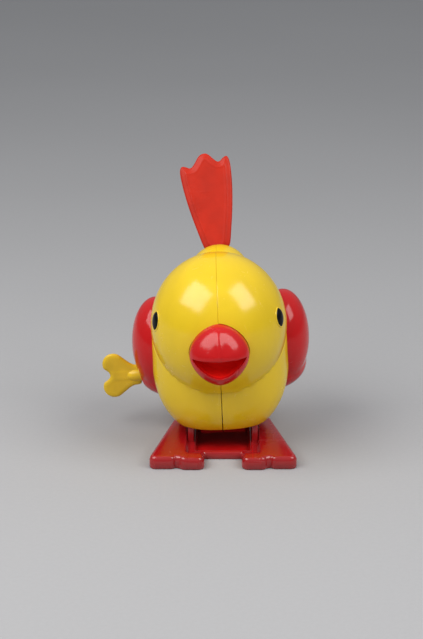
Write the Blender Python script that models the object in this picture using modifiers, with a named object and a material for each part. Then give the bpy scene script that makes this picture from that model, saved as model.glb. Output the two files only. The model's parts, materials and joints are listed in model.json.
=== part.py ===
"""Wind-up hopping bird, about 95 mm tall, modelled in metres with +Z up.

The bird faces -Y and stands on z = 0. The origin is on the sole, under the web that joins its feet.
Everything above the feet is placed in the bird's own frame, which leans a little on the pivot pin.
"""
import math

import bmesh
import bpy
from mathutils import Matrix, Vector

MM = 0.001
OBJECT_NAME = "windup_bird"

# Driving dimensions
GAP = 0.3 * MM                  # between pieces that touch
WALL = 1.6 * MM                 # body shell
LEAN = math.radians(-2.3)       # the bird's play on its pivot, about Y
PIVOT = Vector((0.0, -2.5, 8.5)) * MM

HEAD_CENTRE = Vector((0.0, -3.0, 43.9)) * MM
HEAD_RADII = Vector((23.15, 23.4, 24.8)) * MM
BODY_CENTRE = Vector((0.0, 6.0, 31.5)) * MM
BODY_RADII = Vector((23.8, 22.0, 28.0)) * MM
BODY_SIDE_POWER = 2.4
BODY_PROFILE_POWER = 3.5
HUMP_CENTRE = Vector((0.0, 16.0, 54.7)) * MM
HUMP_RADII = Vector((11.6, 13.0, 11.6)) * MM
BELLY_Z = 8.6 * MM              # height of the body's open lower rim
BELLY_SLOT_TOP = 12.5 * MM
BELLY_SLOT = (27.0 * MM, -12.2 * MM, 16.0 * MM)   # width, front and back of the opening

EYES_AT = {-1: Vector((-21.0, -11.6, 48.7)) * MM, 1: Vector((20.5, -12.8, 48.7)) * MM}
EYE_HEIGHT = 6.6 * MM
EYE_WIDTH = 5.0 * MM

TAIL_ROOT = Vector((0.4, 20.8, 64.4)) * MM
TAIL_BACK = math.radians(25.0)
TAIL_ROLL = math.radians(-7.4)
TAIL_THICK = 2.2 * MM
TAIL_SKEW = 1.5 * MM            # how much higher the tail's right corner is
TAIL_SKEW_START = 22.0 * MM     # height on the tail where the right side starts to rise
TAIL_SKEW_END = 30.0 * MM
TAIL_HALF_WIDTH = 9.1 * MM

SOLE_THICK = 4.5 * MM
WEB_THICK = 2.8 * MM            # the lower web between the two foot plates
RECESS_HALF = 12.3 * MM
POCKET_HALF = 9.4 * MM          # the shallow pocket behind the cross bar
POCKET_FRONT = -16.2 * MM
POCKET_BACK = 12.0 * MM
POCKET_FLOOR = 0.8 * MM
TOE_INSIDE = 6.3 * MM           # from the middle plane to the inner toes
TOE_BACK = -20.6 * MM
TOE_ROUND = 2.4 * MM            # radius of a toe's front corners
INNER_TOE_FRONT = -26.9 * MM
INNER_TOE_OUTSIDE = 15.0 * MM
OUTER_TOE_FRONT = -26.2 * MM
OUTER_TOE_INSIDE = 15.7 * MM
FOOT_OUTSIDE = 24.8 * MM
BAR_FRONT = -17.4 * MM          # front of the cross bar between the toes
HEEL = (11.5 * MM, 20.5 * MM, 3.5 * MM)   # x, y and radius of the rear corner
EAR_INSIDE = 10.0 * MM
EAR_THICK = 2.0 * MM
EAR_TOP = 23.2 * MM
EAR_HALF_DEPTH = 6.0 * MM
EAR_TOP_HALF_DEPTH = 4.0 * MM
EAR_TOP_ROUND = 3.0 * MM
CRANK_SLOT_HALF_WIDTH = 1.3 * MM

BEAK_CENTRE = Vector((0.0, -26.0, 41.0)) * MM
BEAK_HALF_WIDTH = 10.0 * MM
BEAK_TOP = 10.2 * MM
BEAK_BOTTOM = 10.6 * MM
BEAK_REACH = 9.0 * MM
BEAK_ROOT = 3.4 * MM
BEAK_POWER = 1.55               # 1 is a diamond, 2 is an ellipse

KEY_LOBE = 3.9 * MM             # radius of the key's round lobes
KEY_LOBE_X = -37.9 * MM
KEY_LOBE_Z = 4.2 * MM
KEY_NOTCH_X = -39.2 * MM
KEY_THICK = 1.8 * MM

MODULE = 0.6 * MM               # first two gear pairs
FINE_MODULE = 0.5 * MM          # last two gear pairs
PRESSURE = math.radians(20.0)
GREAT_TEETH, SECOND_PINION, SECOND_TEETH = 30, 10, 24
CRANK_PINION, CRANK_TEETH, THIRD_PINION = 10, 24, 8
THIRD_TEETH, ESCAPE_PINION, ESCAPE_TEETH = 20, 8, 12
CRANK_THROW = 1.35 * MM         # rocks the feet 8 degrees each way
CASE_HALF = 7.6 * MM            # outside of the motor case from the middle plane
CASE_WALL = 1.2 * MM

RED = (0.56, 0.012, 0.012)
YELLOW = (0.84, 0.52, 0.01)
CASE_RED = (0.24, 0.008, 0.008)
STEEL_GREY = (0.50, 0.50, 0.49)
BRASS_YELLOW = (0.62, 0.42, 0.14)

# Turns a shape drawn in X-Y and standing on Z into one drawn in Y-Z and lying along X.
ALONG_X = Matrix(((0, 0, 1, 0), (1, 0, 0, 0), (0, 1, 0, 0), (0, 0, 0, 1)))


# ---------------------------------------------------------------- scene, materials, placing
def clear_scene():
    for item in list(bpy.data.objects):
        bpy.data.objects.remove(item, do_unlink=True)


def new_collection(name):
    collection = bpy.data.collections.new(name)
    bpy.context.scene.collection.children.link(collection)
    return collection


def plastic(name, colour, roughness, metallic=0.0):
    material = bpy.data.materials.new(name)
    material.use_nodes = True
    shader = material.node_tree.nodes["Principled BSDF"]
    shader.inputs["Base Color"].default_value = (*colour, 1.0)
    shader.inputs["Roughness"].default_value = roughness
    shader.inputs["Metallic"].default_value = metallic
    return material


def empty(name, parent=None, location=(0, 0, 0), rotation=(0, 0, 0)):
    item = bpy.data.objects.new(name, None)
    PARTS.objects.link(item)
    item.empty_display_size = 0.01
    item.parent = parent
    item.location = location
    item.rotation_euler = rotation
    return item


def piece(name, mesh, material, parent, location=(0, 0, 0), rotation=(0, 0, 0)):
    """One sub-part of the toy."""
    item = bpy.data.objects.new(name, mesh)
    PARTS.objects.link(item)
    mesh.materials.clear()
    mesh.materials.append(material)
    item.parent = parent
    item.location = location
    item.rotation_euler = rotation
    mesh.shade_smooth()
    mesh.set_sharp_from_angle(angle=math.radians(35))
    return item


def tool(name, mesh, parent, location=(0, 0, 0), rotation=(0, 0, 0)):
    """A shape that only cuts or joins other shapes."""
    item = bpy.data.objects.new(name, mesh)
    TOOLS.objects.link(item)
    item.hide_render = True
    item.display_type = 'WIRE'
    item.parent = parent
    item.location = location
    item.rotation_euler = rotation
    return item


def boolean(item, other, operation):
    modifier = item.modifiers.new(operation.lower(), 'BOOLEAN')
    modifier.object = other
    modifier.operation = operation
    modifier.solver = 'EXACT'


def cut(item, other):
    boolean(item, other, 'DIFFERENCE')


def join(item, other):
    boolean(item, other, 'UNION')


def bevel(item, width, segments=2, angle=35):
    modifier = item.modifiers.new("rounded_edges", 'BEVEL')
    modifier.width = width
    modifier.segments = segments
    modifier.limit_method = 'ANGLE'
    modifier.angle_limit = math.radians(angle)


# ---------------------------------------------------------------- mesh builders
def finish_mesh(bm, name, matrix=None):
    mesh = bpy.data.meshes.new(name)
    if matrix is not None:
        bm.transform(matrix)
    bmesh.ops.recalc_face_normals(bm, faces=bm.faces)
    bm.to_mesh(mesh)
    bm.free()
    return mesh


def box_mesh(name, low, high):
    bm = bmesh.new()
    bmesh.ops.create_cube(bm, size=1.0)
    middle = (Vector(low) + Vector(high)) / 2
    size = Vector(high) - Vector(low)
    return finish_mesh(bm, name, Matrix.Translation(middle) @ Matrix.Diagonal((*size, 1.0)))


def rods_mesh(name, rods, segments=16):
    """Closed cylinders along X, each given as (y, z, radius, x_start, x_end)."""
    bm = bmesh.new()
    for y, z, radius, start, end in rods:
        where = Matrix.Translation(((start + end) / 2, y, z)) @ Matrix.Rotation(math.pi / 2, 4, 'Y')
        bmesh.ops.create_cone(bm, cap_ends=True, segments=segments, radius1=radius,
                              radius2=radius, depth=abs(end - start), matrix=where)
    return finish_mesh(bm, name)


def ellipsoid_mesh(name, centre, radii, across=32, up=16):
    bm = bmesh.new()
    bmesh.ops.create_uvsphere(bm, u_segments=across, v_segments=up, radius=1.0)
    return finish_mesh(bm, name, Matrix.Translation(centre) @ Matrix.Diagonal((*radii, 1.0)))


def barrel_mesh(name, centre, radii, across=40, up=20):
    """The body's rounded barrel: an ellipsoid with fuller sides and a squarer profile."""
    bm = bmesh.new()
    bmesh.ops.create_uvsphere(bm, u_segments=across, v_segments=up, radius=1.0)
    ratio = BODY_SIDE_POWER / BODY_PROFILE_POWER
    for vertex in bm.verts:
        x, y, z = (abs(vertex.co[axis]) / radii[axis] for axis in range(3))
        profile = (y ** BODY_PROFILE_POWER + z ** BODY_PROFILE_POWER) ** ratio
        vertex.co *= (x ** BODY_SIDE_POWER + profile) ** (-1 / BODY_SIDE_POWER)
    return finish_mesh(bm, name, Matrix.Translation(centre))


def turned_mesh(name, profile, segments=24):
    """Turns (radius, height) points about Z; the first and last points lie on the axis."""
    mesh = bpy.data.meshes.new(name)
    points = [(radius, 0.0, height) for radius, height in profile]
    edges = [(i, i + 1) for i in range(len(points) - 1)]
    mesh.from_pydata(points, edges, [])
    item = bpy.data.objects.new(name, mesh)
    TOOLS.objects.link(item)
    screw = item.modifiers.new("turn", 'SCREW')
    screw.steps = segments
    screw.render_steps = segments
    screw.use_merge_vertices = True
    screw.merge_threshold = 0.00001
    return take_mesh(item)


def take_mesh(item):
    """The item's evaluated mesh, welded; the item itself is removed."""
    bpy.context.view_layer.update()
    mesh = bpy.data.meshes.new_from_object(item.evaluated_get(bpy.context.evaluated_depsgraph_get()))
    bpy.data.objects.remove(item, do_unlink=True)
    bm = bmesh.new()
    bm.from_mesh(mesh)
    bmesh.ops.remove_doubles(bm, verts=bm.verts, dist=0.000005)
    bmesh.ops.recalc_face_normals(bm, faces=bm.faces)
    bm.to_mesh(mesh)
    bm.free()
    return mesh


def plate_mesh(name, outlines, start, end, matrix=ALONG_X):
    """A flat plate from closed outlines (an inner one is a hole), standing from start to end."""
    curve = bpy.data.curves.new(name, 'CURVE')
    curve.dimensions = '2D'
    curve.fill_mode = 'BOTH'
    curve.extrude = (end - start) / 2
    for outline in outlines:
        spline = curve.splines.new('POLY')
        spline.points.add(len(outline) - 1)
        for point, (u, v) in zip(spline.points, outline):
            point.co = (u, v, 0.0, 1.0)
        spline.use_cyclic_u = True
    item = bpy.data.objects.new(name, curve)
    TOOLS.objects.link(item)
    mesh = take_mesh(item)
    mesh.transform(matrix @ Matrix.Translation((0.0, 0.0, (start + end) / 2)))
    return mesh


def circle(radius, count=24, u=0.0, v=0.0):
    turns = (2 * math.pi * i / count for i in range(count))
    return [(u + radius * math.cos(a), v + radius * math.sin(a)) for a in turns]


def arc(u, v, radius, start, end, count):
    """Points on an arc between two angles in degrees."""
    angles = (math.radians(start + (end - start) * i / (count - 1)) for i in range(count))
    return [(u + radius * math.cos(a), v + radius * math.sin(a)) for a in angles]


# ---------------------------------------------------------------- gear teeth
def involute(radius, base):
    angle = math.acos(min(1.0, base / radius))
    return math.tan(angle) - angle


def gear_outline(teeth, module, phase):
    """A spur gear with thinned involute teeth; phase is the angle of one tooth's middle."""
    pitch = teeth * module / 2
    base = pitch * math.cos(PRESSURE)
    tip = pitch + 0.80 * module
    root = pitch - 1.15 * module
    flank = pitch + 0.05 * module
    half_pitch = 0.40 * math.pi / teeth

    def half_width(radius):
        return half_pitch + involute(pitch, base) - involute(max(radius, base), base)

    stations = [(root, -1), (flank, -1), (tip, -1), (tip, 1), (flank, 1), (root, 1)]
    outline = []
    for tooth in range(teeth):
        middle = phase + 2 * math.pi * tooth / teeth
        for radius, side in stations:
            angle = middle + side * half_width(radius)
            outline.append((radius * math.cos(angle), radius * math.sin(angle)))
    return outline


def saw_outline(teeth, tip, root, phase=0.0):
    """Slanted teeth, as on a ratchet or an escape wheel."""
    outline = []
    for tooth in range(teeth):
        start = phase + 2 * math.pi * tooth / teeth
        for radius, share in ((tip, 0.0), (root, 0.12), (root, 0.62)):
            angle = start + 2 * math.pi * share / teeth
            outline.append((radius * math.cos(angle), radius * math.sin(angle)))
    return outline


def heading(start, end):
    return math.atan2(end[1] - start[1], end[0] - start[0])


def from_point(start, distance, degrees):
    angle = math.radians(degrees)
    return (start[0] + distance * math.cos(angle), start[1] + distance * math.sin(angle))


def between(first, first_distance, second, second_distance):
    """The point above two others at given distances from them, in the Y-Z plane."""
    span = math.dist(first, second)
    along = (first_distance ** 2 - second_distance ** 2 + span ** 2) / (2 * span)
    rise = math.sqrt(first_distance ** 2 - along ** 2)
    u = ((second[0] - first[0]) / span, (second[1] - first[1]) / span)
    return (first[0] + along * u[0] - rise * u[1], first[1] + along * u[1] + rise * u[0])


# Arbor centres as (y, z), each at the true centre distance of its gear pair
CRANK_AXIS = (1.0 * MM, 17.5 * MM)
GREAT_AXIS = (12.5 * MM, 21.2 * MM)
SECOND_AXIS = between(CRANK_AXIS, MODULE * (SECOND_TEETH + CRANK_PINION) / 2,
                      GREAT_AXIS, MODULE * (GREAT_TEETH + SECOND_PINION) / 2)
THIRD_AXIS = from_point(CRANK_AXIS, FINE_MODULE * (CRANK_TEETH + THIRD_PINION) / 2, 145)
ESCAPE_AXIS = from_point(THIRD_AXIS, FINE_MODULE * (THIRD_TEETH + ESCAPE_PINION) / 2, 105)
PALLET_AXIS = from_point(ESCAPE_AXIS, 5.2 * MM, 60)


def mesh_phase(driver_teeth, driver_phase, driver_axis, teeth, axis):
    """The phase that puts a gap of this gear opposite a tooth of its driver, or the reverse."""
    towards = heading(driver_axis, axis)
    turned = (towards - driver_phase) * driver_teeth / (2 * math.pi)
    part_of_tooth = turned - math.floor(turned)
    facing = towards + math.pi
    return facing + (part_of_tooth + 0.5) * 2 * math.pi / teeth


# ---------------------------------------------------------------- feet
def foot_outline():
    """Half of the feet's plan for x > 0, from the middle of the cross bar round to the rear."""
    inner_y = INNER_TOE_FRONT + TOE_ROUND
    outer_y = OUTER_TOE_FRONT + TOE_ROUND
    inner = arc(TOE_INSIDE + TOE_ROUND, inner_y, TOE_ROUND, 180, 270, 4)
    inner += arc(INNER_TOE_OUTSIDE - TOE_ROUND, inner_y, TOE_ROUND, 270, 350, 4)
    outer = arc(OUTER_TOE_INSIDE + TOE_ROUND, outer_y, TOE_ROUND, 190, 270, 4)
    outer += arc(FOOT_OUTSIDE - TOE_ROUND, outer_y, TOE_ROUND, 270, 365, 4)
    return [(TOE_INSIDE, BAR_FRONT)] + inner + outer + arc(*HEEL, 12, 90, 5)


def ear_outlines():
    """An ear in (y, z): its own outline, the slot for the crank pin and the hole for the pivot pin."""
    crank_y, crank_z = CRANK_AXIS
    half = CRANK_SLOT_HALF_WIDTH
    slot = arc(crank_y, crank_z + CRANK_THROW, half, 0, 180, 7)
    slot += arc(crank_y, crank_z - CRANK_THROW, half, 180, 360, 7)
    pin_hole = circle(1.5 * MM, 16, PIVOT.y, PIVOT.z)
    front = PIVOT.y - EAR_HALF_DEPTH
    back = PIVOT.y + EAR_HALF_DEPTH
    corner = EAR_TOP_HALF_DEPTH - EAR_TOP_ROUND
    corner_z = EAR_TOP - EAR_TOP_ROUND
    ear = [(front, 1.5 * MM), (back, 1.5 * MM), (back, 9.0 * MM)]
    ear += arc(crank_y + corner, corner_z, EAR_TOP_ROUND, 0, 90, 4)
    ear += arc(crank_y - corner, corner_z, EAR_TOP_ROUND, 90, 180, 4)
    ear += [(front, 11.0 * MM)]
    return [ear, slot, pin_hole]


def make_feet(red):
    half = foot_outline()
    outline = half + [(-x, y) for x, y in reversed(half)]
    plates = plate_mesh("feet", [outline], 0.0, SOLE_THICK, Matrix.Identity(4))
    feet = piece("feet_frame", plates, red, None)
    bevel(feet, 0.45 * MM)
    step = RECESS_HALF
    plan = [(-step, TOE_BACK), (-TOE_INSIDE, TOE_BACK), (-TOE_INSIDE, -0.04), (TOE_INSIDE, -0.04),
            (TOE_INSIDE, TOE_BACK), (step, TOE_BACK), (step, 0.04), (-step, 0.04)]
    recess = plate_mesh("recess", [plan], WEB_THICK, 9.0 * MM, Matrix.Identity(4))
    cut(feet, tool("recess_between_plates", recess, None))
    pocket = box_mesh("pocket", Vector((-POCKET_HALF, POCKET_FRONT, POCKET_FLOOR)),
                      Vector((POCKET_HALF, POCKET_BACK, 9.0 * MM)))
    cut(feet, tool("pocket_behind_bar", pocket, None))
    for side in (-1, 1):
        low, high = sorted((side * EAR_INSIDE, side * (EAR_INSIDE + EAR_THICK)))
        join(feet, tool(f"ear_{side}", plate_mesh("ear", ear_outlines(), low, high), None))


def make_pivot_pin(steel):
    end = EAR_INSIDE + EAR_THICK + 0.2 * MM
    half = [(0, end + 0.6 * MM), (1.9 * MM, end + 0.6 * MM), (2.2 * MM, end + 0.3 * MM),
            (2.2 * MM, end), (1.2 * MM, end)]
    profile = half + [(radius, -height) for radius, height in reversed(half)]
    mesh = turned_mesh("pivot_pin", profile, 16)
    mesh.transform(ALONG_X)
    piece("pivot_pin", mesh, steel, None, (0, PIVOT.y, PIVOT.z))


# ---------------------------------------------------------------- body shells
def grown(radii, extra):
    return Vector((radii.x + extra, radii.y + extra, radii.z + extra))


def bird_solid(name, bird, extra, across=40, up=20):
    """Head, barrel and hump as one solid, grown outwards by extra (or inwards if negative)."""
    solid = tool(name, barrel_mesh(name, BODY_CENTRE, grown(BODY_RADII, extra), across, up), bird)
    head = ellipsoid_mesh(name, HEAD_CENTRE, grown(HEAD_RADII, extra), across, up)
    hump = ellipsoid_mesh(name, HUMP_CENTRE, grown(HUMP_RADII, extra), across * 3 // 5, up * 3 // 5)
    join(solid, tool(name + "_head", head, bird))
    join(solid, tool(name + "_hump", hump, bird))
    return solid


def barrel_half_width(y, z):
    """How far the body's outside is from the middle plane at this place."""
    profile = (abs(y - BODY_CENTRE.y) / BODY_RADII.y) ** BODY_PROFILE_POWER
    profile += (abs(z - BODY_CENTRE.z) / BODY_RADII.z) ** BODY_PROFILE_POWER
    share = 1 - profile ** (BODY_SIDE_POWER / BODY_PROFILE_POWER)
    return BODY_RADII.x * share ** (1 / BODY_SIDE_POWER)


def make_shells(bird, yellow, inner, cutters):
    post_places = ((18.5 * MM, 25.0 * MM), (4.0 * MM, 33.0 * MM))
    for side, name in ((-1, "body_shell_left"), (1, "body_shell_right")):
        shell = piece(name, barrel_mesh(name, BODY_CENTRE, BODY_RADII), yellow, bird)
        join(shell, tool(name + "_head", ellipsoid_mesh(name, HEAD_CENTRE, HEAD_RADII, 40, 20), bird))
        join(shell, tool(name + "_hump", ellipsoid_mesh(name, HUMP_CENTRE, HUMP_RADII, 24, 12), bird))
        cut(shell, inner)
        posts = [(y, z, 2.0 * MM, side * 8.2 * MM, side * (barrel_half_width(y, z) - WALL / 2))
                 for y, z in post_places]
        join(shell, tool(name + "_posts", rods_mesh(name, posts, 12), bird))
        far = side * 40 * MM
        near = side * GAP / 2
        low = Vector((min(far, near), -0.04, -0.01))
        high = Vector((max(far, near), 0.05, 0.09))
        boolean(shell, tool(name + "_side", box_mesh(name, low, high), bird), 'INTERSECT')
        for cutter in cutters:
            cut(shell, cutter)


def belly_cutter(bird):
    width, front, back = BELLY_SLOT
    slot = box_mesh("belly_slot", (-width / 2, front, -0.01), (width / 2, back, BELLY_SLOT_TOP))
    plane = box_mesh("belly_plane", (-0.04, -0.04, -0.02), (0.04, 0.05, BELLY_Z))
    return [tool("belly_slot", slot, bird), tool("belly_plane", plane, bird)]


# ---------------------------------------------------------------- face
def almond(extra=0.0):
    """The eye's outline: two arcs that meet in points above and below."""
    half_height = EYE_HEIGHT / 2 + extra
    half_width = EYE_WIDTH / 2 + extra
    radius = (half_height ** 2 + half_width ** 2) / (2 * half_width)
    spread = math.degrees(math.asin(half_height / radius))
    right = arc(half_width - radius, 0, radius, -spread, spread, 9)
    left = arc(radius - half_width, 0, radius, 180 - spread, 180 + spread, 9)
    return right[:-1] + left[:-1]


def eye_frame(bird, side):
    """An empty at the eye whose Z points out of the head and whose Y points up."""
    at = EYES_AT[side]
    offset = at - HEAD_CENTRE
    normal = Vector([offset[axis] / HEAD_RADII[axis] ** 2 for axis in range(3)])
    normal.normalize()
    across = Vector((0, 0, 1)).cross(normal).normalized()
    up = normal.cross(across)
    spin = Matrix((across, up, normal)).transposed().to_euler()
    return empty("eye_frame_left" if side < 0 else "eye_frame_right", bird, at, spin)


def make_eyes(bird, black):
    cutters = []
    for side, name in ((-1, "eye_left"), (1, "eye_right")):
        frame = eye_frame(bird, side)
        eye = piece(name, plate_mesh(name, [almond()], -2.2 * MM, 0.5 * MM, Matrix.Identity(4)), black, frame)
        bevel(eye, 0.35 * MM, 2, 60)
        hole = plate_mesh(name, [almond(GAP)], -5.0 * MM, 3.0 * MM, Matrix.Identity(4))
        cutters.append(tool(name + "_hole", hole, frame))
    return cutters


def beak_outline(half_width, top, bottom, count=9):
    """A rounded diamond in X-Z about the beak's own centre."""
    points = []
    for i in range(4 * count):
        angle = 2 * math.pi * i / (4 * count)
        reach = top if math.sin(angle) > 0 else bottom
        scale = (abs(math.cos(angle)) ** BEAK_POWER + abs(math.sin(angle)) ** BEAK_POWER) ** (-1 / BEAK_POWER)
        points.append((half_width * scale * math.cos(angle), reach * scale * math.sin(angle)))
    return points


def beak_mesh(name, extra=0.0, front=True):
    """Rings from the root, inside the head, forwards to the rounded tip."""
    rings = [(-BEAK_ROOT - extra, 1.0), (0.0, 1.0)]
    if front:
        rings += [(BEAK_REACH * math.sin(a), math.cos(a) ** 0.85) for a in
                  (math.radians(d) for d in (12, 26, 42, 58, 72, 83))]
    else:
        rings += [(12.0 * MM, 1.0)]
    bm = bmesh.new()
    previous = None
    for forward, share in rings:
        outline = beak_outline((BEAK_HALF_WIDTH + extra) * share, (BEAK_TOP + extra) * share,
                               (BEAK_BOTTOM + extra) * share)
        ring = [bm.verts.new((u, -forward, v)) for u, v in outline]
        if previous is None:
            bm.faces.new(ring)
        else:
            for i, vertex in enumerate(ring):
                j = (i + 1) % len(ring)
                bm.faces.new((previous[i], previous[j], ring[j], vertex))
        previous = ring
    bm.faces.new(list(reversed(previous)))
    return finish_mesh(bm, name)


def make_beak(bird, red):
    beak = piece("beak", beak_mesh("beak"), red, bird, BEAK_CENTRE)
    mouth = [(-12.0, -1.0), (-6.0, -1.6), (0.0, -2.2), (6.0, -1.6), (12.0, -1.0), (9.0, -3.6), (5.0, -6.6),
             (0.0, -8.2), (-5.0, -6.6), (-9.0, -3.6)]
    mouth = [(x * MM, z * MM) for x, z in mouth]
    upright = Matrix.Rotation(math.pi / 2, 4, 'X')
    cutter = tool("mouth", plate_mesh("mouth", [mouth], 1.2 * MM, 14.0 * MM, upright), bird, BEAK_CENTRE)
    cut(beak, cutter)
    hole = beak_mesh("beak_hole", GAP, front=False)
    return tool("beak_hole", hole, bird, BEAK_CENTRE)


# ---------------------------------------------------------------- wings and tail
WING_LOBES = (
    ((21.9, 12.0, 33.6), (8.9, 13.0, 16.4)),
    ((15.9, 14.0, 23.4), (13.8, 13.0, 10.0)),
    ((18.0, 20.5, 29.5), (10.5, 10.5, 8.0)),
    ((17.5, 19.0, 39.5), (9.8, 10.0, 8.0)),
)
WING_SHIFT = {-1: Vector((0.0, 0.0, -0.5)) * MM, 1: Vector((0.6, 0.0, 0.6)) * MM}


def make_wings(bird, red, body_clear, key_hole):
    for side, name in ((-1, "wing_left"), (1, "wing_right")):
        wing = None
        for number, (centre, radii) in enumerate(WING_LOBES):
            at = Vector((side * centre[0], centre[1], centre[2])) * MM + WING_SHIFT[side]
            mesh = ellipsoid_mesh(name, at, Vector(radii) * MM, 24, 14)
            if wing is None:
                wing = piece(name, mesh, red, bird)
            else:
                join(wing, tool(f"{name}_lobe_{number}", mesh, bird))
        cut(wing, body_clear)
        reach = side * 21.0 * MM
        low, high = sorted((-side * 0.04, reach))
        cut(wing, tool(name + "_inside", box_mesh(name, (low, -0.04, 0.0), (high, 0.05, 0.09)), bird))
        if side < 0:
            cut(wing, key_hole)


def tail_outline():
    """Half of the feather for x > 0 from root to middle tip, mirrored for the other half."""
    half = [(3.4, -6.7), (3.4, -0.5), (4.6, 0.0), (5.8, 5.5), (6.9, 10.5), (7.9, 16.0), (8.7, 22.0),
            (9.1, 27.5), (8.7, 29.8), (7.9, 30.4), (6.6, 30.0), (5.1, 29.0), (3.6, 30.4), (1.9, 32.8), (0.8, 33.6)]
    half = [(x * MM, y * MM) for x, y in half]
    slope = TAIL_SKEW / (TAIL_SKEW_END - TAIL_SKEW_START) / TAIL_HALF_WIDTH
    right = [(x, y + slope * x * max(0.0, y - TAIL_SKEW_START)) for x, y in half]
    return right + [(-x, y) for x, y in reversed(half)]


def make_tail(bird, red):
    frame = empty("tail_frame", bird, TAIL_ROOT, (-TAIL_BACK, TAIL_ROLL, 0))
    upright = Matrix.Rotation(math.pi / 2, 4, 'X')
    feather = plate_mesh("tail", [tail_outline()], -TAIL_THICK / 2, TAIL_THICK / 2, upright)
    tail = piece("tail", feather, red, frame)
    bevel(tail, 0.4 * MM, 2, 60)
    half = [(3.4, -7.0), (3.4, -1.0), (4.7, -0.5), (7.2, 7.0)]
    half = [(x * MM + GAP, y * MM) for x, y in half]
    half_thick = TAIL_THICK / 2 + GAP
    outline = half + [(-x, y) for x, y in reversed(half)]
    slot = plate_mesh("tail_slot", [outline], -half_thick, half_thick, upright)
    return tool("tail_slot", slot, frame)


# ---------------------------------------------------------------- winding key
def key_outline():
    """The butterfly in (x, height) about the key's axis: two round lobes and a waist."""
    lobe = arc(KEY_LOBE_X, KEY_LOBE_Z, KEY_LOBE, 50, 205, 10)
    waist = [(-28.0 * MM, 3.0 * MM), (-28.8 * MM, 3.6 * MM), (-31.4 * MM, 3.8 * MM)]
    upper = waist + lobe + [(KEY_NOTCH_X - 0.6 * MM, 1.5 * MM), (KEY_NOTCH_X, 0.5 * MM)]
    return upper + [(x, -z) for x, z in reversed(upper)]


def make_key(bird, yellow):
    frame = empty("key_axis", bird, (0, *GREAT_AXIS))
    front = Matrix(((1, 0, 0, 0), (0, 0, 1, 0), (0, 1, 0, 0), (0, 0, 0, 1)))
    blade = plate_mesh("key_blade", [key_outline()], -KEY_THICK / 2, KEY_THICK / 2, front)
    key = piece("winding_key", blade, yellow, frame)
    bevel(key, 0.4 * MM, 2, 60)
    join(key, tool("key_stem", rods_mesh("key_stem", [(0, 0, 2.3 * MM, -33.0 * MM, -12.2 * MM)], 20), frame))
    cut(key, tool("key_bore", rods_mesh("key_bore", [(0, 0, 1.3 * MM, -20.0 * MM, -12.0 * MM)], 12), frame))
    return frame


def key_hole_cutter(bird, name, radius, end):
    y, z = GREAT_AXIS
    return tool(name, rods_mesh(name, [(y, z, radius, -40.0 * MM, end)], 20), bird)


# ---------------------------------------------------------------- motor
CASE_OUTLINE = ((-6.3, 5.6), (1.5, 5.6), (21.5, 11.0), (23.4, 13.5), (23.4, 28.0), (18.5, 35.5),
                (15.5, 37.5), (-8.0, 37.5), (-12.5, 33.0), (-12.5, 18.0))
RIVETS = {"front": (-9.1, 16.5), "top": (8.5, 34.5), "rear": (18.6, 30.0)}


def make_case(bird, name, side, material, holes):
    """One tray of the motor case: a wall at the outside and a rim that reaches the middle plane."""
    bm = bmesh.new()
    outer = side * CASE_HALF
    rim = side * GAP / 2
    floor = [bm.verts.new((outer, y * MM, z * MM)) for y, z in CASE_OUTLINE]
    edge = [bm.verts.new((rim, y * MM, z * MM)) for y, z in CASE_OUTLINE]
    bm.faces.new(floor)
    for i in range(len(floor)):
        j = (i + 1) % len(floor)
        bm.faces.new((floor[i], floor[j], edge[j], edge[i]))
    bmesh.ops.recalc_face_normals(bm, faces=bm.faces)
    floor_faces_out = bm.faces[0].normal.x * side > 0
    if not floor_faces_out:
        bmesh.ops.reverse_faces(bm, faces=bm.faces)
    mesh = bpy.data.meshes.new(name)
    bm.to_mesh(mesh)
    bm.free()
    case = piece(name, mesh, material, bird)
    solid = case.modifiers.new("wall", 'SOLIDIFY')
    solid.thickness = CASE_WALL
    solid.offset = -1.0
    solid.use_even_offset = True
    cut(case, holes)
    return case


def case_holes(bird):
    through = CASE_HALF + 1.0 * MM
    places = [(PIVOT.y, PIVOT.z, 1.9 * MM), (*CRANK_AXIS, 1.3 * MM), (*GREAT_AXIS, 1.8 * MM)]
    places += [(*axis, 0.9 * MM) for axis in (SECOND_AXIS, THIRD_AXIS, ESCAPE_AXIS, PALLET_AXIS)]
    places += [(y * MM, z * MM, 1.1 * MM) for y, z in RIVETS.values()]
    return tool("case_holes", rods_mesh("case_holes", [(*p, -through, through) for p in places], 12), bird)


def make_rivets(bird, steel):
    head = CASE_HALF + GAP
    for name, (y, z) in RIVETS.items():
        mesh = turned_mesh("rivet", [(0, head + 0.6 * MM), (1.2 * MM, head + 0.5 * MM), (1.6 * MM, head),
                                     (0.8 * MM, head), (0.8 * MM, -head), (1.6 * MM, -head),
                                     (1.2 * MM, -head - 0.5 * MM), (0, -head - 0.6 * MM)], 12)
        mesh.transform(ALONG_X)
        piece(f"case_rivet_{name}", mesh, steel, bird, (0, y * MM, z * MM))


def wheel(name, bird, axis, material, layers, arbor, arbor_ends, bore=None):
    """A wheel moulded in one with its pinion and arbor. Layers are (outline, x_start, x_end)."""
    frame = empty(name + "_axis", bird, (0, *axis))
    outline, start, end = layers[0]
    outlines = [outline] if bore is None else [outline, circle(bore, 20)]
    item = piece(name, plate_mesh(name, outlines, start, end), material, frame)
    for number, (outline, start, end) in enumerate(layers[1:]):
        join(item, tool(f"{name}_pinion_{number}", plate_mesh(name, [outline], start, end), frame))
    if arbor:
        shaft = rods_mesh(name, [(0, 0, arbor, *arbor_ends)], 12)
        join(item, tool(name + "_arbor", shaft, frame))


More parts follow.
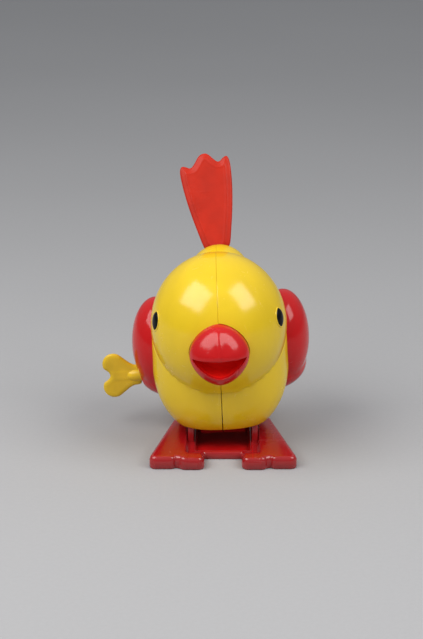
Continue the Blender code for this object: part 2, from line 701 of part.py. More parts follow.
def make_train(bird, white, brass):
    """Great wheel, second wheel, crank wheel, third wheel and escape wheel, in mesh at rest."""
    journal = 7.3 * MM
    great_phase = heading(GREAT_AXIS, SECOND_AXIS)
    second_phase = mesh_phase(GREAT_TEETH, great_phase, GREAT_AXIS, SECOND_PINION, SECOND_AXIS)
    crank_phase = mesh_phase(SECOND_TEETH, second_phase, SECOND_AXIS, CRANK_PINION, CRANK_AXIS)
    third_phase = mesh_phase(CRANK_TEETH, crank_phase, CRANK_AXIS, THIRD_PINION, THIRD_AXIS)
    escape_phase = mesh_phase(THIRD_TEETH, third_phase, THIRD_AXIS, ESCAPE_PINION, ESCAPE_AXIS)

    wheel("great_wheel", bird, GREAT_AXIS, white,
          [(gear_outline(GREAT_TEETH, MODULE, great_phase), -4.8 * MM, -3.6 * MM)], None, None, 1.9 * MM)
    wheel("second_wheel", bird, SECOND_AXIS, white,
          [(gear_outline(SECOND_TEETH, MODULE, second_phase), -3.2 * MM, -2.2 * MM),
           (gear_outline(SECOND_PINION, MODULE, second_phase), -5.0 * MM, -2.6 * MM)],
          0.6 * MM, (-journal, journal))
    crank_end = CASE_HALF + GAP + 0.2 * MM
    wheel("crank_wheel", bird, CRANK_AXIS, white,
          [(gear_outline(CRANK_TEETH, FINE_MODULE, crank_phase), 2.5 * MM, 3.5 * MM),
           (gear_outline(CRANK_PINION, MODULE, crank_phase), -3.3 * MM, -1.9 * MM)],
          1.0 * MM, (-crank_end, crank_end))
    wheel("third_wheel", bird, THIRD_AXIS, white,
          [(gear_outline(THIRD_TEETH, FINE_MODULE, third_phase), -0.5 * MM, 0.5 * MM),
           (gear_outline(THIRD_PINION, FINE_MODULE, third_phase), 0.1 * MM, 3.7 * MM)],
          0.6 * MM, (-journal, journal))
    wheel("escape_wheel", bird, ESCAPE_AXIS, brass,
          [(saw_outline(ESCAPE_TEETH, 3.3 * MM, 2.3 * MM), 4.2 * MM, 5.2 * MM),
           (gear_outline(ESCAPE_PINION, FINE_MODULE, escape_phase), -0.7 * MM, 4.6 * MM)],
          0.6 * MM, (-journal, journal))


def make_cranks(bird, steel):
    """A disc with an off-centre pin on each end of the crank arbor."""
    frame = empty("crank_disc_axis", bird, (0, *CRANK_AXIS))
    for side, name in ((-1, "crank_left"), (1, "crank_right")):
        start = side * (CASE_HALF + 0.3 * MM)
        round_plate = rods_mesh(name, [(0, 0, 2.8 * MM, start, start + side * 0.9 * MM)], 24)
        disc = piece(name, round_plate, steel, frame)
        cut(disc, tool(name + "_bore", rods_mesh(name, [(0, 0, 1.3 * MM, 0, side * 20 * MM)], 12), frame))
        pin = [(0, side * CRANK_THROW, 0.6 * MM, start + side * 0.4 * MM, side * 9.2 * MM)]
        join(disc, tool(name + "_pin", rods_mesh(name, pin, 10), frame))


def make_winding(key_frame, steel):
    """The arbor that the key turns, with the ratchet teeth that the click drops into."""
    arbor = rods_mesh("winding_arbor", [(0, 0, 1.0 * MM, -19.4 * MM, -5.6 * MM)], 12)
    item = piece("winding_arbor", arbor, steel, key_frame)
    body = rods_mesh("arbor_body", [(0, 0, 1.5 * MM, -7.3 * MM, 7.3 * MM)], 16)
    join(item, tool("arbor_body", body, key_frame))
    ratchet = plate_mesh("ratchet", [saw_outline(10, 3.2 * MM, 2.4 * MM)], -6.1 * MM, -5.2 * MM)
    join(item, tool("ratchet", ratchet, key_frame))


def make_click(bird, steel):
    """A curved leaf on the great wheel that bears on the ratchet."""
    frame = empty("click_axis", bird, (0, *GREAT_AXIS))
    outer = arc(0, 0, 5.4 * MM, -150, 40, 15)
    inner = arc(0, 0, 4.8 * MM, 40, -150, 15)
    tip = [from_point((0, 0), 3.55 * MM, -158)]
    piece("click_spring", plate_mesh("click", [outer + inner + tip], -6.0 * MM, -5.1 * MM), steel, frame)


def make_mainspring(bird, steel):
    """Six turns of flat strip round the arbor."""
    turns, strip, inside, outside = 6, 0.35 * MM, 2.3 * MM, 6.8 * MM
    count = turns * 12 + 1
    lines = []
    for offset in (0.0, strip):
        line = []
        for i in range(count):
            share = i / (count - 1)
            radius = inside + (outside - inside) * share + offset
            angle = 2 * math.pi * turns * share
            line.append((radius * math.cos(angle), radius * math.sin(angle)))
        lines.append(line)
    outline = lines[0] + list(reversed(lines[1]))
    spring = plate_mesh("mainspring", [outline], -1.7 * MM, 2.1 * MM)
    piece("mainspring", spring, steel, bird, (0, *GREAT_AXIS))


def make_pallet(bird, brass):
    """The rocking governor: a weight on its arbor with two fingers astride the escape wheel."""
    frame = empty("pallet_axis", bird, (0, *PALLET_AXIS))
    centre_y = ESCAPE_AXIS[0] - PALLET_AXIS[0]
    centre_z = ESCAPE_AXIS[1] - PALLET_AXIS[1]
    fingers = arc(centre_y, centre_z, 4.1 * MM, 122, 0, 13)
    outside = arc(centre_y, centre_z, 5.0 * MM, 0, 122, 13)
    item = piece("pallet", plate_mesh("pallet", [fingers + outside], 4.2 * MM, 5.2 * MM), brass, frame)
    hub = rods_mesh("pallet_hub", [(0, 0, 1.4 * MM, 4.0 * MM, 5.4 * MM)], 14)
    join(item, tool("pallet_hub", hub, frame))
    arbor = rods_mesh("pallet_arbor", [(0, 0, 0.6 * MM, -7.3 * MM, 7.3 * MM)], 12)
    join(item, tool("pallet_arbor", arbor, frame))


# ---------------------------------------------------------------- assembly
def main():
    red = plastic("red_plastic", RED, 0.22)
    yellow = plastic("yellow_plastic", YELLOW, 0.18)
    black = plastic("black_gloss", (0.01, 0.01, 0.01), 0.1)
    dark_red = plastic("motor_case_dark_red", CASE_RED, 0.4)
    white = plastic("gear_white", (0.75, 0.74, 0.70), 0.4)
    steel = plastic("steel", STEEL_GREY, 0.3, 1.0)
    brass = plastic("brass", BRASS_YELLOW, 0.3, 1.0)

    make_feet(red)
    make_pivot_pin(steel)
    bird = empty("bird_frame", None, (0, 0, PIVOT.z), (0, LEAN, 0))
    bird = empty("bird_origin", bird, (0, 0, -PIVOT.z))

    inner = bird_solid("shell_inside", bird, -WALL, 28, 14)
    body_clear = bird_solid("body_clear", bird, GAP)
    shell_hole = key_hole_cutter(bird, "shell_hole", 2.9 * MM, -15.0 * MM)
    wing_hole = key_hole_cutter(bird, "wing_hole", 4.4 * MM, -20.0 * MM)
    beak_hole = make_beak(bird, red)
    tail_slot = make_tail(bird, red)
    eye_holes = make_eyes(bird, black)
    make_shells(bird, yellow, inner, [*belly_cutter(bird), beak_hole, tail_slot, *eye_holes, shell_hole])
    make_wings(bird, red, body_clear, wing_hole)

    key_frame = make_key(bird, yellow)
    make_winding(key_frame, steel)
    holes = case_holes(bird)
    make_case(bird, "motor_case_left", -1, dark_red, holes)
    make_case(bird, "motor_case_right", 1, dark_red, holes)
    make_rivets(bird, steel)
    make_train(bird, white, brass)
    make_cranks(bird, steel)
    make_click(bird, steel)
    make_mainspring(bird, steel)
    make_pallet(bird, brass)
    bpy.context.view_layer.update()


clear_scene()
PARTS = new_collection(OBJECT_NAME)
TOOLS = new_collection("cutters")
main()
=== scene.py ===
import json
import math

import bmesh
import bpy
import numpy as np
from bpy.props import FloatProperty, FloatVectorProperty, IntProperty, PointerProperty
from mathutils import Matrix, Vector
from mathutils.geometry import delaunay_2d_cdt


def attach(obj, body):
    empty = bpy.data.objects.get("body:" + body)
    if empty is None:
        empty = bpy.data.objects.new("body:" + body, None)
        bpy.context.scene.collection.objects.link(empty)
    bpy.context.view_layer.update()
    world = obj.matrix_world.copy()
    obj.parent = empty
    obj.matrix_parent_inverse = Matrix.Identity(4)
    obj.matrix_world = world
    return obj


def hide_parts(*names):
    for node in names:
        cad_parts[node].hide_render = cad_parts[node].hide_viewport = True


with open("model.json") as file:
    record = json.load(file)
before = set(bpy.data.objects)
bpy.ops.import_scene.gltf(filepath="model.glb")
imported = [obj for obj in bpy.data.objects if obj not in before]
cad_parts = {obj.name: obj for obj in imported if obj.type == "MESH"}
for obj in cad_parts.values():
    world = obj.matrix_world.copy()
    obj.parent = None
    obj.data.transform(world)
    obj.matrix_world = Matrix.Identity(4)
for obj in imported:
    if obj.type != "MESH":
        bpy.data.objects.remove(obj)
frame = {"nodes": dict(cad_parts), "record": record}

bl_info = {
    "name": "Hopping Bird Looks",
    "version": (1, 0, 0),
    "blender": (4, 5, 0),
    "location": "View3D > Sidebar > Hopping Bird",
    "description": "Moulded plastic looks for a wind-up hopping bird",
    "category": "Object",
}

MM = 0.001
JOINTS = {joint["name"]: joint for joint in frame["record"]["behaviour"]["joints"]}
HOP_PIN = Vector(JOINTS["feet_hop"]["pos_m"])
KEY_AXIS_AT = Vector(JOINTS["key_turn"]["pos_m"])
KEY_AXIS_WAY = Vector(JOINTS["key_turn"]["axis"])


def lean_matrix():
    """The bird leans a little to one side about the hop pin; its shapes are drawn upright."""
    lean = -math.atan2(KEY_AXIS_WAY.z, KEY_AXIS_WAY.x)
    pin = Matrix.Translation((0.0, 0.0, HOP_PIN.z))
    return pin @ Matrix.Rotation(lean, 4, 'Y') @ pin.inverted()


BIRD = lean_matrix()
KEY_AT = BIRD.inverted() @ KEY_AXIS_AT


# ---------------------------------------------------------------- sizes and colours
def length(name, description, default):
    return FloatProperty(name=name, description=description, default=default, unit='LENGTH', precision=5)


def lengths(name, description, default):
    return FloatVectorProperty(name=name, description=description, default=default, subtype='XYZ',
                               unit='LENGTH', precision=5)


def paint(name, description, default):
    return FloatVectorProperty(name=name, description=description, default=default, subtype='COLOR',
                               min=0.0, max=1.0)


class BodySizes(bpy.types.PropertyGroup):
    """The bird's head, barrel and hump, all hollow mouldings in two halves."""
    head_at: lengths("Head centre", "Centre of the round head", (0.0, -0.0030, 0.0439))
    head_radii: lengths("Head radii", "Half width, depth and height of the head", (0.02315, 0.0234, 0.0248))
    barrel_at: lengths("Barrel centre", "Centre of the body's barrel", (0.0, 0.0060, 0.0315))
    barrel_radii: lengths("Barrel radii", "Half width, depth and height of the barrel",
                          (0.0238, 0.0220, 0.0280))
    side_power: FloatProperty(name="Side fullness", description="2 is an ellipsoid, more is fuller",
                              default=2.4, min=2.0, max=8.0)
    profile_power: FloatProperty(name="Profile fullness", description="2 is round, more is squarer",
                                 default=3.5, min=2.0, max=8.0)
    hump_at: lengths("Hump centre", "Centre of the hump that holds the tail", (0.0008, 0.0160, 0.0546))
    hump_radii: lengths("Hump radii", "Half width, depth and height of the hump", (0.0111, 0.0130, 0.0116))
    crease: length("Crease fillet", "How softly head, barrel and hump run into each other", 0.0003)
    wall: length("Wall", "Thickness of the moulded shells", 0.0013)
    rim_height: length("Rim height", "Height of the body's open lower rim", 0.0086)
    seam_top: length("Seam at the top", "Half the gap between the shells at the head", 0.000008)
    seam_bottom: length("Seam at the bottom", "Half the gap between the shells at the rim", 0.00016)
    edge_round: length("Edge rounding", "Rounding of the shells' edges", 0.00018)


class FaceSizes(bpy.types.PropertyGroup):
    """Eyes and beak."""
    eye_left_at: lengths("Left eye", "Middle of the eye on the key's side", (-0.0210, -0.0116, 0.0487))
    eye_right_at: lengths("Right eye", "Middle of the other eye", (0.0205, -0.0128, 0.0487))
    eye_height: length("Eye height", "Height of the almond", 0.0066)
    eye_width: length("Eye width", "Width of the almond", 0.0050)
    eye_rim: length("Eye rim", "Radius of the raised rim round the eye", 0.00022)
    beak_at: lengths("Beak", "Middle of the beak's root on the head", (0.0, -0.0260, 0.0410))
    beak_half_width: length("Beak half width", "From the middle to a corner of the mouth", 0.0100)
    beak_top: length("Beak top", "Height of the beak above its middle", 0.0102)
    beak_bottom: length("Beak bottom", "Depth of the beak below its middle", 0.0106)
    beak_reach: length("Beak reach", "How far the beak stands out", 0.0079)


class SideSizes(bpy.types.PropertyGroup):
    """Wings, tail and key."""
    wing_wall: length("Wing wall", "Thickness of a wing's moulding", 0.0012)
    tail_root: lengths("Tail root", "Where the tail leaves the hump", (0.0004, 0.0208, 0.0644))
    tail_back: FloatProperty(name="Tail slope", description="How far the tail slopes back", subtype='ANGLE',
                             default=math.radians(25.0))
    tail_roll: FloatProperty(name="Tail roll", description="How far the tail tips to one side",
                             subtype='ANGLE', default=math.radians(-7.4))
    tail_thick: length("Tail thickness", "Thickness of the tail's panel", 0.0022)
    key_thick: length("Key thickness", "Thickness of the key's wings", 0.0019)
    key_lobe: length("Key lobe", "Radius of each lobe of the key", 0.00386)


class FeetSizes(bpy.types.PropertyGroup):
    """The one moulding that makes both feet."""
    sole: length("Sole", "Thickness of the foot plates", 0.0045)
    web: length("Web", "Thickness of the lower web between the plates", 0.0028)
    recess_half: length("Recess half width", "From the middle to the step up to a plate", 0.0123)
    edge: length("Edge rounding", "Rounding of the plates' edges", 0.0009)
    spacing: length("Mesh spacing", "Distance between points on the flat pieces", 0.00036)


class ToyColours(bpy.types.PropertyGroup):
    """Colours of the plastics and metals."""
    yellow: paint("Yellow", "Body shells", (0.84, 0.575, 0.013))
    key_yellow: paint("Key yellow", "Winding key", (0.84, 0.54, 0.014))
    red: paint("Red", "Beak, wings and feet", (0.58, 0.008, 0.010))
    # Painted light: the inside of the mouth is the beak's red made much lighter, so it reads as lit.
    mouth_painted_light_red: paint("Mouth red", "Inside of the mouth", (0.90, 0.012, 0.008))
    # Painted shade: a separate red for the pocket between the feet and the ears' inner faces, used with a
    # matt, low-sheen finish so they read as the feet's red in shade.
    pocket_painted_shade_red: paint("Pocket red", "Shaded pocket between the feet", (0.50, 0.005, 0.005))
    feet_red: paint("Feet red", "Feet", (0.38, 0.006, 0.008))
    tail_red: paint("Tail red", "Tail", (0.53, 0.020, 0.005))
    black: paint("Black", "Eyes", (0.006, 0.006, 0.007))
    # Partly painted shade: the motor case is taken as red plastic, darkened to the shaded red seen under the
    # belly.
    case_red_with_painted_shade: paint("Case red", "Motor case", (0.24, 0.008, 0.008))
    gear_white: paint("Gear white", "Plastic gears", (0.75, 0.74, 0.70))
    steel: paint("Steel", "Arbors, pins and rivets", (0.50, 0.50, 0.49))
    spring: paint("Spring steel", "Mainspring and click", (0.32, 0.33, 0.36))
    brass: paint("Brass", "Wheels and pallet", (0.62, 0.42, 0.14))


class StageSizes(bpy.types.PropertyGroup):
    """Floor, lights and camera."""
    floor: paint("Floor", "Pale floor", (0.40, 0.40, 0.41))
    key_light: FloatProperty(name="Left light", description="Power of the broad light", default=3.1,
                             min=0.0)
    side_light: FloatProperty(name="Right light", description="Power of the narrow light", default=2.0,
                              min=0.0)
    fill: FloatProperty(name="Fill", description="Strength of the light all round", default=0.26, min=0.0)
    distance: length("Camera distance", "Distance from the camera to the toy", 0.600)
    height: FloatProperty(name="Camera slope", description="How far the camera looks down", subtype='ANGLE',
                          default=math.radians(18.0))
    lens: FloatProperty(name="Lens", description="Focal length in millimetres", default=98.76, min=10.0)
    around: IntProperty(name="Floor sides", description="Sides of the round floor", default=48, min=8)


# ---------------------------------------------------------------- materials
def add_node(tree, kind, **values):
    """A new node with its settings or inputs filled in."""
    node = tree.nodes.new(kind)
    for key, value in values.items():
        if key in node.inputs:
            node.inputs[key].default_value = value
        else:
            setattr(node, key, value)
    return node


def stretched(tree, scale):
    """Object coordinates stretched along the axes."""
    coords = tree.nodes.new("ShaderNodeTexCoord")
    mapping = tree.nodes.new("ShaderNodeMapping")
    mapping.inputs["Scale"].default_value = scale
    tree.links.new(coords.outputs["Object"], mapping.inputs["Vector"])
    return mapping.outputs["Vector"]


def grain(tree, scale, detail=3.0, roughness=0.5, stretch=(1.0, 1.0, 1.0), distortion=0.0):
    """Soft noise over the piece; the scale is in waves per metre."""
    texture = add_node(tree, "ShaderNodeTexNoise", Scale=scale, Detail=detail, Roughness=roughness,
                       Distortion=distortion)
    tree.links.new(stretched(tree, stretch), texture.inputs["Vector"])
    return texture.outputs["Fac"]


def small_relief(tree, shader, height, strength, distance):
    """Feeds a height into the shader as a fine bump."""
    bump = add_node(tree, "ShaderNodeBump", Strength=strength, Distance=distance)
    tree.links.new(height, bump.inputs["Height"])
    tree.links.new(bump.outputs["Normal"], shader.inputs["Normal"])


def spread(tree, value, low, high, out_low=0.0, out_high=1.0):
    """Stretches a value between two limits."""
    limits = {"From Min": low, "From Max": high, "To Min": out_low, "To Max": out_high}
    node = add_node(tree, "ShaderNodeMapRange", **limits)
    tree.links.new(value, node.inputs["Value"])
    return node.outputs["Result"]


def combine(tree, operation, first, second):
    """One step of arithmetic on two values, each a number or another node's output."""
    node = add_node(tree, "ShaderNodeMath", operation=operation)
    for socket, value in zip(node.inputs, (first, second)):
        if isinstance(value, (int, float)):
            socket.default_value = value
        else:
            tree.links.new(value, socket)
    return node.outputs["Value"]


def blend(tree, share, first, second):
    """Mixes two colours by a share."""
    node = add_node(tree, "ShaderNodeMix", data_type='RGBA')
    tree.links.new(share, node.inputs["Factor"])
    first_colour, second_colour = node.inputs[6:8]
    for socket, value in ((first_colour, first), (second_colour, second)):
        if isinstance(value, tuple):
            socket.default_value = value
        else:
            tree.links.new(value, socket)
    return node.outputs[2]


def shade(colour, factor):
    """A colour made lighter or darker, with full opacity."""
    return tuple(min(1.0, channel * factor) for channel in colour) + (1.0,)


def new_material(name):
    """A material with its node tree and its shader."""
    material = bpy.data.materials.new(name)
    material.use_nodes = True
    return material, material.node_tree, material.node_tree.nodes["Principled BSDF"]


def scratches(tree):
    """Fine hairlines in three ways, from handling and play."""
    total = None
    for stretch in ((30.0, 900.0, 700.0), (800.0, 45.0, 600.0), (500.0, 900.0, 38.0)):
        line = spread(tree, grain(tree, 1.0, 2.0, 0.5, stretch), 0.66, 0.74)
        total = line if total is None else combine(tree, 'MAXIMUM', total, line)
    patches = spread(tree, grain(tree, 85.0), 0.45, 0.65)
    return combine(tree, 'MULTIPLY', total, patches)


def moulded_plastic(name, colour, rough, waviness=0.12, wear=0.10, shine=0.5):
    """Glossy moulded plastic: slightly uneven colour, faint flow marks, hairlines and dust."""
    material, tree, shader = new_material(name)
    flow = spread(tree, grain(tree, 60.0, 4.0, 0.55, (1.0, 1.0, 0.45), 0.4), 0.35, 0.65)
    base = blend(tree, flow, shade(colour, 0.90), shade(colour, 1.0))
    lines = scratches(tree)
    specks = spread(tree, grain(tree, 5200.0, 1.0), 0.74, 0.80)
    marks = combine(tree, 'MULTIPLY', combine(tree, 'MAXIMUM', lines, specks), 0.16)
    pale = tuple(0.75 * channel + 0.12 for channel in colour) + (1.0,)
    tree.links.new(blend(tree, marks, base, pale), shader.inputs["Base Color"])
    cloudy = spread(tree, grain(tree, 140.0, 3.0), 0.3, 0.7, rough, rough + wear)
    worn = combine(tree, 'MULTIPLY', lines, 0.25)
    tree.links.new(combine(tree, 'ADD', cloudy, worn), shader.inputs["Roughness"])
    fine = combine(tree, 'MULTIPLY', grain(tree, 1900.0, 2.0), 0.06)
    skin = combine(tree, 'ADD', grain(tree, 230.0, 2.0), fine)
    skin = combine(tree, 'SUBTRACT', skin, combine(tree, 'MULTIPLY', lines, 0.05))
    small_relief(tree, shader, skin, waviness, 0.4 * MM)
    shader.inputs["Specular IOR Level"].default_value = shine
    return material


def satin_plastic(name, colour, rough, shine=0.45):
    """Plainer plastic with a fine even texture from the mould."""
    material, tree, shader = new_material(name)
    patches = spread(tree, grain(tree, 120.0, 4.0), 0.35, 0.65)
    base = blend(tree, patches, shade(colour, 0.86), shade(colour, 1.04))
    tree.links.new(base, shader.inputs["Base Color"])
    lines = scratches(tree)
    cloudy = spread(tree, grain(tree, 300.0, 3.0), 0.3, 0.7, rough, rough + 0.12)
    tree.links.new(combine(tree, 'ADD', cloudy, combine(tree, 'MULTIPLY', lines, 0.15)),
                   shader.inputs["Roughness"])
    small_relief(tree, shader, combine(tree, 'ADD', grain(tree, 3200.0, 3.0), lines), 0.25, 0.1 * MM)
    shader.inputs["Specular IOR Level"].default_value = shine
    return material


def matt_painted_light_and_shade(name, colour):
    """A matt, low-sheen copy of a plastic for painted light and shade: painted light inside the mouth,
    painted shade in the pocket between the feet; even and a little grainy.
    """
    material, tree, shader = new_material(name)
    patches = spread(tree, grain(tree, 200.0, 4.0), 0.3, 0.7)
    tree.links.new(blend(tree, patches, shade(colour, 0.88), shade(colour, 1.0)), shader.inputs["Base Color"])
    tree.links.new(spread(tree, grain(tree, 900.0, 3.0), 0.3, 0.7, 0.50, 0.68), shader.inputs["Roughness"])
    small_relief(tree, shader, grain(tree, 2800.0, 3.0), 0.3, 0.1 * MM)
    shader.inputs["Specular IOR Level"].default_value = 0.04
    return material


def second_finish(item, material, chosen):
    """Gives the faces whose middle is chosen another finish."""
    item.data.materials.append(material)
    for polygon in item.data.polygons:
        if chosen(polygon.center):
            polygon.material_index = 1


def rolled_metal(name, colour, rough, stretch, tarnish):
    """Rolled or turned metal with fine lines one way and faint tarnish."""
    material, tree, shader = new_material(name)
    lines = grain(tree, 1.0, 4.0, 0.6, stretch)
    stain = spread(tree, grain(tree, 260.0, 5.0, 0.6), 0.40, 0.72)
    base = blend(tree, stain, shade(colour, 1.0), shade(colour, tarnish))
    bright = spread(tree, lines, 0.3, 0.7)
    tree.links.new(blend(tree, combine(tree, 'MULTIPLY', bright, 0.4), base, shade(colour, 1.25)),
                   shader.inputs["Base Color"])
    worn = combine(tree, 'ADD', spread(tree, lines, 0.3, 0.7, rough, rough + 0.12),
                   combine(tree, 'MULTIPLY', stain, 0.15))
    tree.links.new(worn, shader.inputs["Roughness"])
    small_relief(tree, shader, lines, 0.2, 0.05 * MM)
    shader.inputs["Metallic"].default_value = 1.0
    return material


def pale_paper(name, colour):
    """Matt paper with a faint fibre and faint clouds."""
    material, tree, shader = new_material(name)
    fibre = spread(tree, grain(tree, 700.0, 4.0, 0.7), 0.3, 0.7)
    cloud = spread(tree, grain(tree, 3.0, 2.0), 0.3, 0.7)
    mixed = combine(tree, 'ADD', combine(tree, 'MULTIPLY', fibre, 0.5), combine(tree, 'MULTIPLY', cloud, 0.5))
    tree.links.new(blend(tree, mixed, shade(colour, 0.96), shade(colour, 1.04)), shader.inputs["Base Color"])
    shader.inputs["Roughness"].default_value = 0.85
    shader.inputs["Specular IOR Level"].default_value = 0.2
    return material


# ---------------------------------------------------------------- mesh helpers
def add_piece(name, mesh, material, body=None, nodes=(), smooth_angle=38.0):
    """Puts one finished piece in the scene, on its body and in place of its plain solids."""
    item = bpy.data.objects.new(name, mesh)
    bpy.context.scene.collection.objects.link(item)
    mesh.materials.clear()
    mesh.materials.append(material)
    mesh.shade_smooth()
    mesh.set_sharp_from_angle(angle=math.radians(smooth_angle))
    if body:
        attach(item, body)
    if nodes:
        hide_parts(*nodes)
    return item


def to_mesh(bm, name, matrix=None):
    """Turns the shape being built into a mesh, moved by the matrix if there is one."""
    if matrix is not None:
        bm.transform(matrix)
    mesh = bpy.data.meshes.new(name)
    bm.to_mesh(mesh)
    bm.free()
    return mesh


def outwards(bm, inside):
    """Turns all faces away from a point inside the shape."""
    bmesh.ops.recalc_face_normals(bm, faces=bm.faces)
    score = 0.0
    for face in bm.faces:
        score += (face.calc_center_median() - inside).dot(face.normal) * face.calc_area()
    if score < 0:
        bmesh.ops.reverse_faces(bm, faces=bm.faces)


def grid_faces(bm, rows):
    """Joins closed rows of vertices into quads."""
    for first, second in zip(rows, rows[1:]):
        count = len(first)
        for i in range(count):
            j = (i + 1) % count
            bm.faces.new((first[i], first[j], second[j], second[i]))


def lofted(name, rings, matrix=None, capped=True):
    """A closed shape through rings of points: capped at both ends, or run back to its first ring."""
    bm = bmesh.new()
    rows = [[bm.verts.new(point) for point in ring] for ring in rings]
    grid_faces(bm, rows if capped else rows + rows[:1])
    if capped:
        bm.faces.new(rows[0])
        bm.faces.new(list(reversed(rows[-1])))
    bmesh.ops.recalc_face_normals(bm, faces=bm.faces)
    return to_mesh(bm, name, matrix)


def domed(core, points, around):
    """A dome from rows of points round its core, open at the first row; also gives its vertices."""
    bm = bmesh.new()
    vertices = [bm.verts.new(point) for point in points]
    rows = [vertices[start:start + around] for start in range(0, len(vertices), around)]
    grid_faces(bm, rows)
    bm.faces.new(rows[-1])
    outwards(bm, Vector(core))
    return bm, vertices


def shaped(mesh, steps):
    """The mesh after a row of modifiers, each given as (kind, settings)."""
    item = bpy.data.objects.new("shaping", mesh)
    bpy.context.scene.collection.objects.link(item)
    for kind, settings in steps:
        modifier = item.modifiers.new(kind.lower(), kind)
        for key, value in settings.items():
            setattr(modifier, key, value)
    bpy.context.view_layer.update()
    done = bpy.data.meshes.new_from_object(item.evaluated_get(bpy.context.evaluated_depsgraph_get()))
    bpy.data.objects.remove(item, do_unlink=True)
    return done


def combined(mesh, others, operation):
    """Cuts other meshes out of this one, or joins them to it."""
    tools = []
    for other in others:
        tool = bpy.data.objects.new("tool", other)
        bpy.context.scene.collection.objects.link(tool)
        tools.append(tool)
    steps = [('BOOLEAN', {"object": tool, "operation": operation, "solver": 'EXACT'}) for tool in tools]
    done = shaped(mesh, steps)
    for tool in tools:
        bpy.data.objects.remove(tool, do_unlink=True)
    return done


def rounded_drop(distance, radius):
    """How far a rounded edge falls away at a distance from the edge."""
    near = np.clip(radius - np.asarray(distance), 0.0, radius)
    return radius - np.sqrt(radius * radius - near * near)


def circle(radius, height, count):
    """Points round a circle about Z."""
    turns = [2 * math.pi * i / count for i in range(count)]
    return [(radius * math.cos(turn), radius * math.sin(turn), height) for turn in turns]


def smooth_step(value):
    """Eases from 0 to 1 as the value goes from 0 to 1."""
    value = np.clip(value, 0.0, 1.0)
    return value * value * (3 - 2 * value)


def arc(u, v, radius, start, end, count):
    """Points on an arc between two angles in degrees."""
    angles = (math.radians(start + (end - start) * i / (count - 1)) for i in range(count))
    return [(u + radius * math.cos(a), v + radius * math.sin(a)) for a in angles]


def mirrored(half):
    """A closed outline from its half with x > 0."""
    return half + [(-x, y) for x, y in reversed(half)]


def softened(outline, rounds):
    """Cuts the corners of a closed outline again and again, which rounds it."""
    for _ in range(rounds):
        after = outline[1:] + outline[:1]
        cutting = []
        for (u, v), (s, t) in zip(outline, after):
            cutting.append((0.75 * u + 0.25 * s, 0.75 * v + 0.25 * t))
            cutting.append((0.25 * u + 0.75 * s, 0.25 * v + 0.75 * t))
        outline = cutting
    return outline


def evenly(outline, step):
    """The closed outline with points at even steps."""
    points = np.array(outline + outline[:1])
    run = np.concatenate(([0.0], np.cumsum(np.linalg.norm(np.diff(points, axis=0), axis=1))))
    count = max(8, int(round(run[-1] / step)))
    at = np.linspace(0.0, run[-1], count, endpoint=False)
    return np.column_stack((np.interp(at, run, points[:, 0]), np.interp(at, run, points[:, 1])))


def edge_distance(points, outline):
    """Distance from each point to the nearest stretch of the outline."""
    nearest = np.full(len(points), np.inf)
    for start, end in zip(outline, np.roll(outline, -1, axis=0)):
        along = end - start
        share = np.clip(((points - start) @ along) / max(along @ along, 1e-18), 0.0, 1.0)
        gap = np.linalg.norm(points - (start + share[:, None] * along), axis=1)
        nearest = np.minimum(nearest, gap)
    return nearest


def is_inside(points, outline):
    """Which points lie inside a closed outline."""
    inside = np.zeros(len(points), dtype=bool)
    for (u, v), (s, t) in zip(outline, np.roll(outline, -1, axis=0)):
        crosses = (v > points[:, 1]) != (t > points[:, 1])
        with np.errstate(divide='ignore', invalid='ignore'):
            at = u + (points[:, 1] - v) * (s - u) / (t - v)
        inside ^= crosses & (points[:, 0] < at)
    return inside


def slab(outline, step, front, back, matrix):
    """A closed plate on an outline; front and back give its two heights from (u, v, distance to edge)."""
    edge = evenly(outline, step)
    low, high = edge.min(axis=0), edge.max(axis=0)
    across = np.arange(low[0] + step / 3, high[0], step)
    up = np.arange(low[1] + step / 3, high[1], step)
    lattice = np.array([(u, v) for v in up for u in across])
    lattice = lattice[is_inside(lattice, edge)]
    lattice = lattice[edge_distance(lattice, edge) > 0.45 * step]
    points = np.vstack((edge, lattice))
    ring = [(i, (i + 1) % len(edge)) for i in range(len(edge))]
    flat, _, faces, *_ = delaunay_2d_cdt([Vector(p) for p in points], ring, [], 1, 1e-7)
    flat = np.array([tuple(p) for p in flat])
    distance = edge_distance(flat, edge)
    distance[:len(edge)] = 0.0
    bm = bmesh.new()
    tops = [bm.verts.new((u, v, h)) for (u, v), h in zip(flat, front(flat[:, 0], flat[:, 1], distance))]
    bases = [bm.verts.new((u, v, h)) for (u, v), h in zip(flat, back(flat[:, 0], flat[:, 1], distance))]
    for face in faces:
        bm.faces.new([tops[i] for i in face])
        bm.faces.new([bases[i] for i in reversed(face)])
    for i, j in ring:
        bm.faces.new((tops[j], tops[i], bases[i], bases[j]))
    bmesh.ops.recalc_face_normals(bm, faces=bm.faces)
    return to_mesh(bm, "slab", matrix)


def turned(profile, segments, matrix):
    """Turns (radius, height) points about Z; the ends lie on the axis."""
    bm = bmesh.new()
    rows = [[bm.verts.new(point) for point in circle(radius, height, segments)]
            for radius, height in profile[1:-1]]
    grid_faces(bm, rows)
    for (_, height), row in ((profile[0], rows[0]), (profile[-1], rows[-1])):
        tip = bm.verts.new((0.0, 0.0, height))
        for i in range(segments):
            bm.faces.new((row[i], row[(i + 1) % segments], tip))
    bmesh.ops.recalc_face_normals(bm, faces=bm.faces)
    return to_mesh(bm, "turned", matrix)


def prism(outline, start, end, matrix):
    """A straight-sided block on an outline."""
    return lofted("prism", [[(u, v, height) for u, v in outline] for height in (start, end)], matrix)


# Shapes are drawn in X-Y with their height along Z. FACING stands them up with the height to the
# front, and ALONG_X lays the height along X.
FACING = Matrix.Rotation(math.pi / 2, 4, 'X')
ALONG_X = Matrix(((0, 0, 1, 0), (1, 0, 0, 0), (0, 1, 0, 0), (0, 0, 0, 1)))


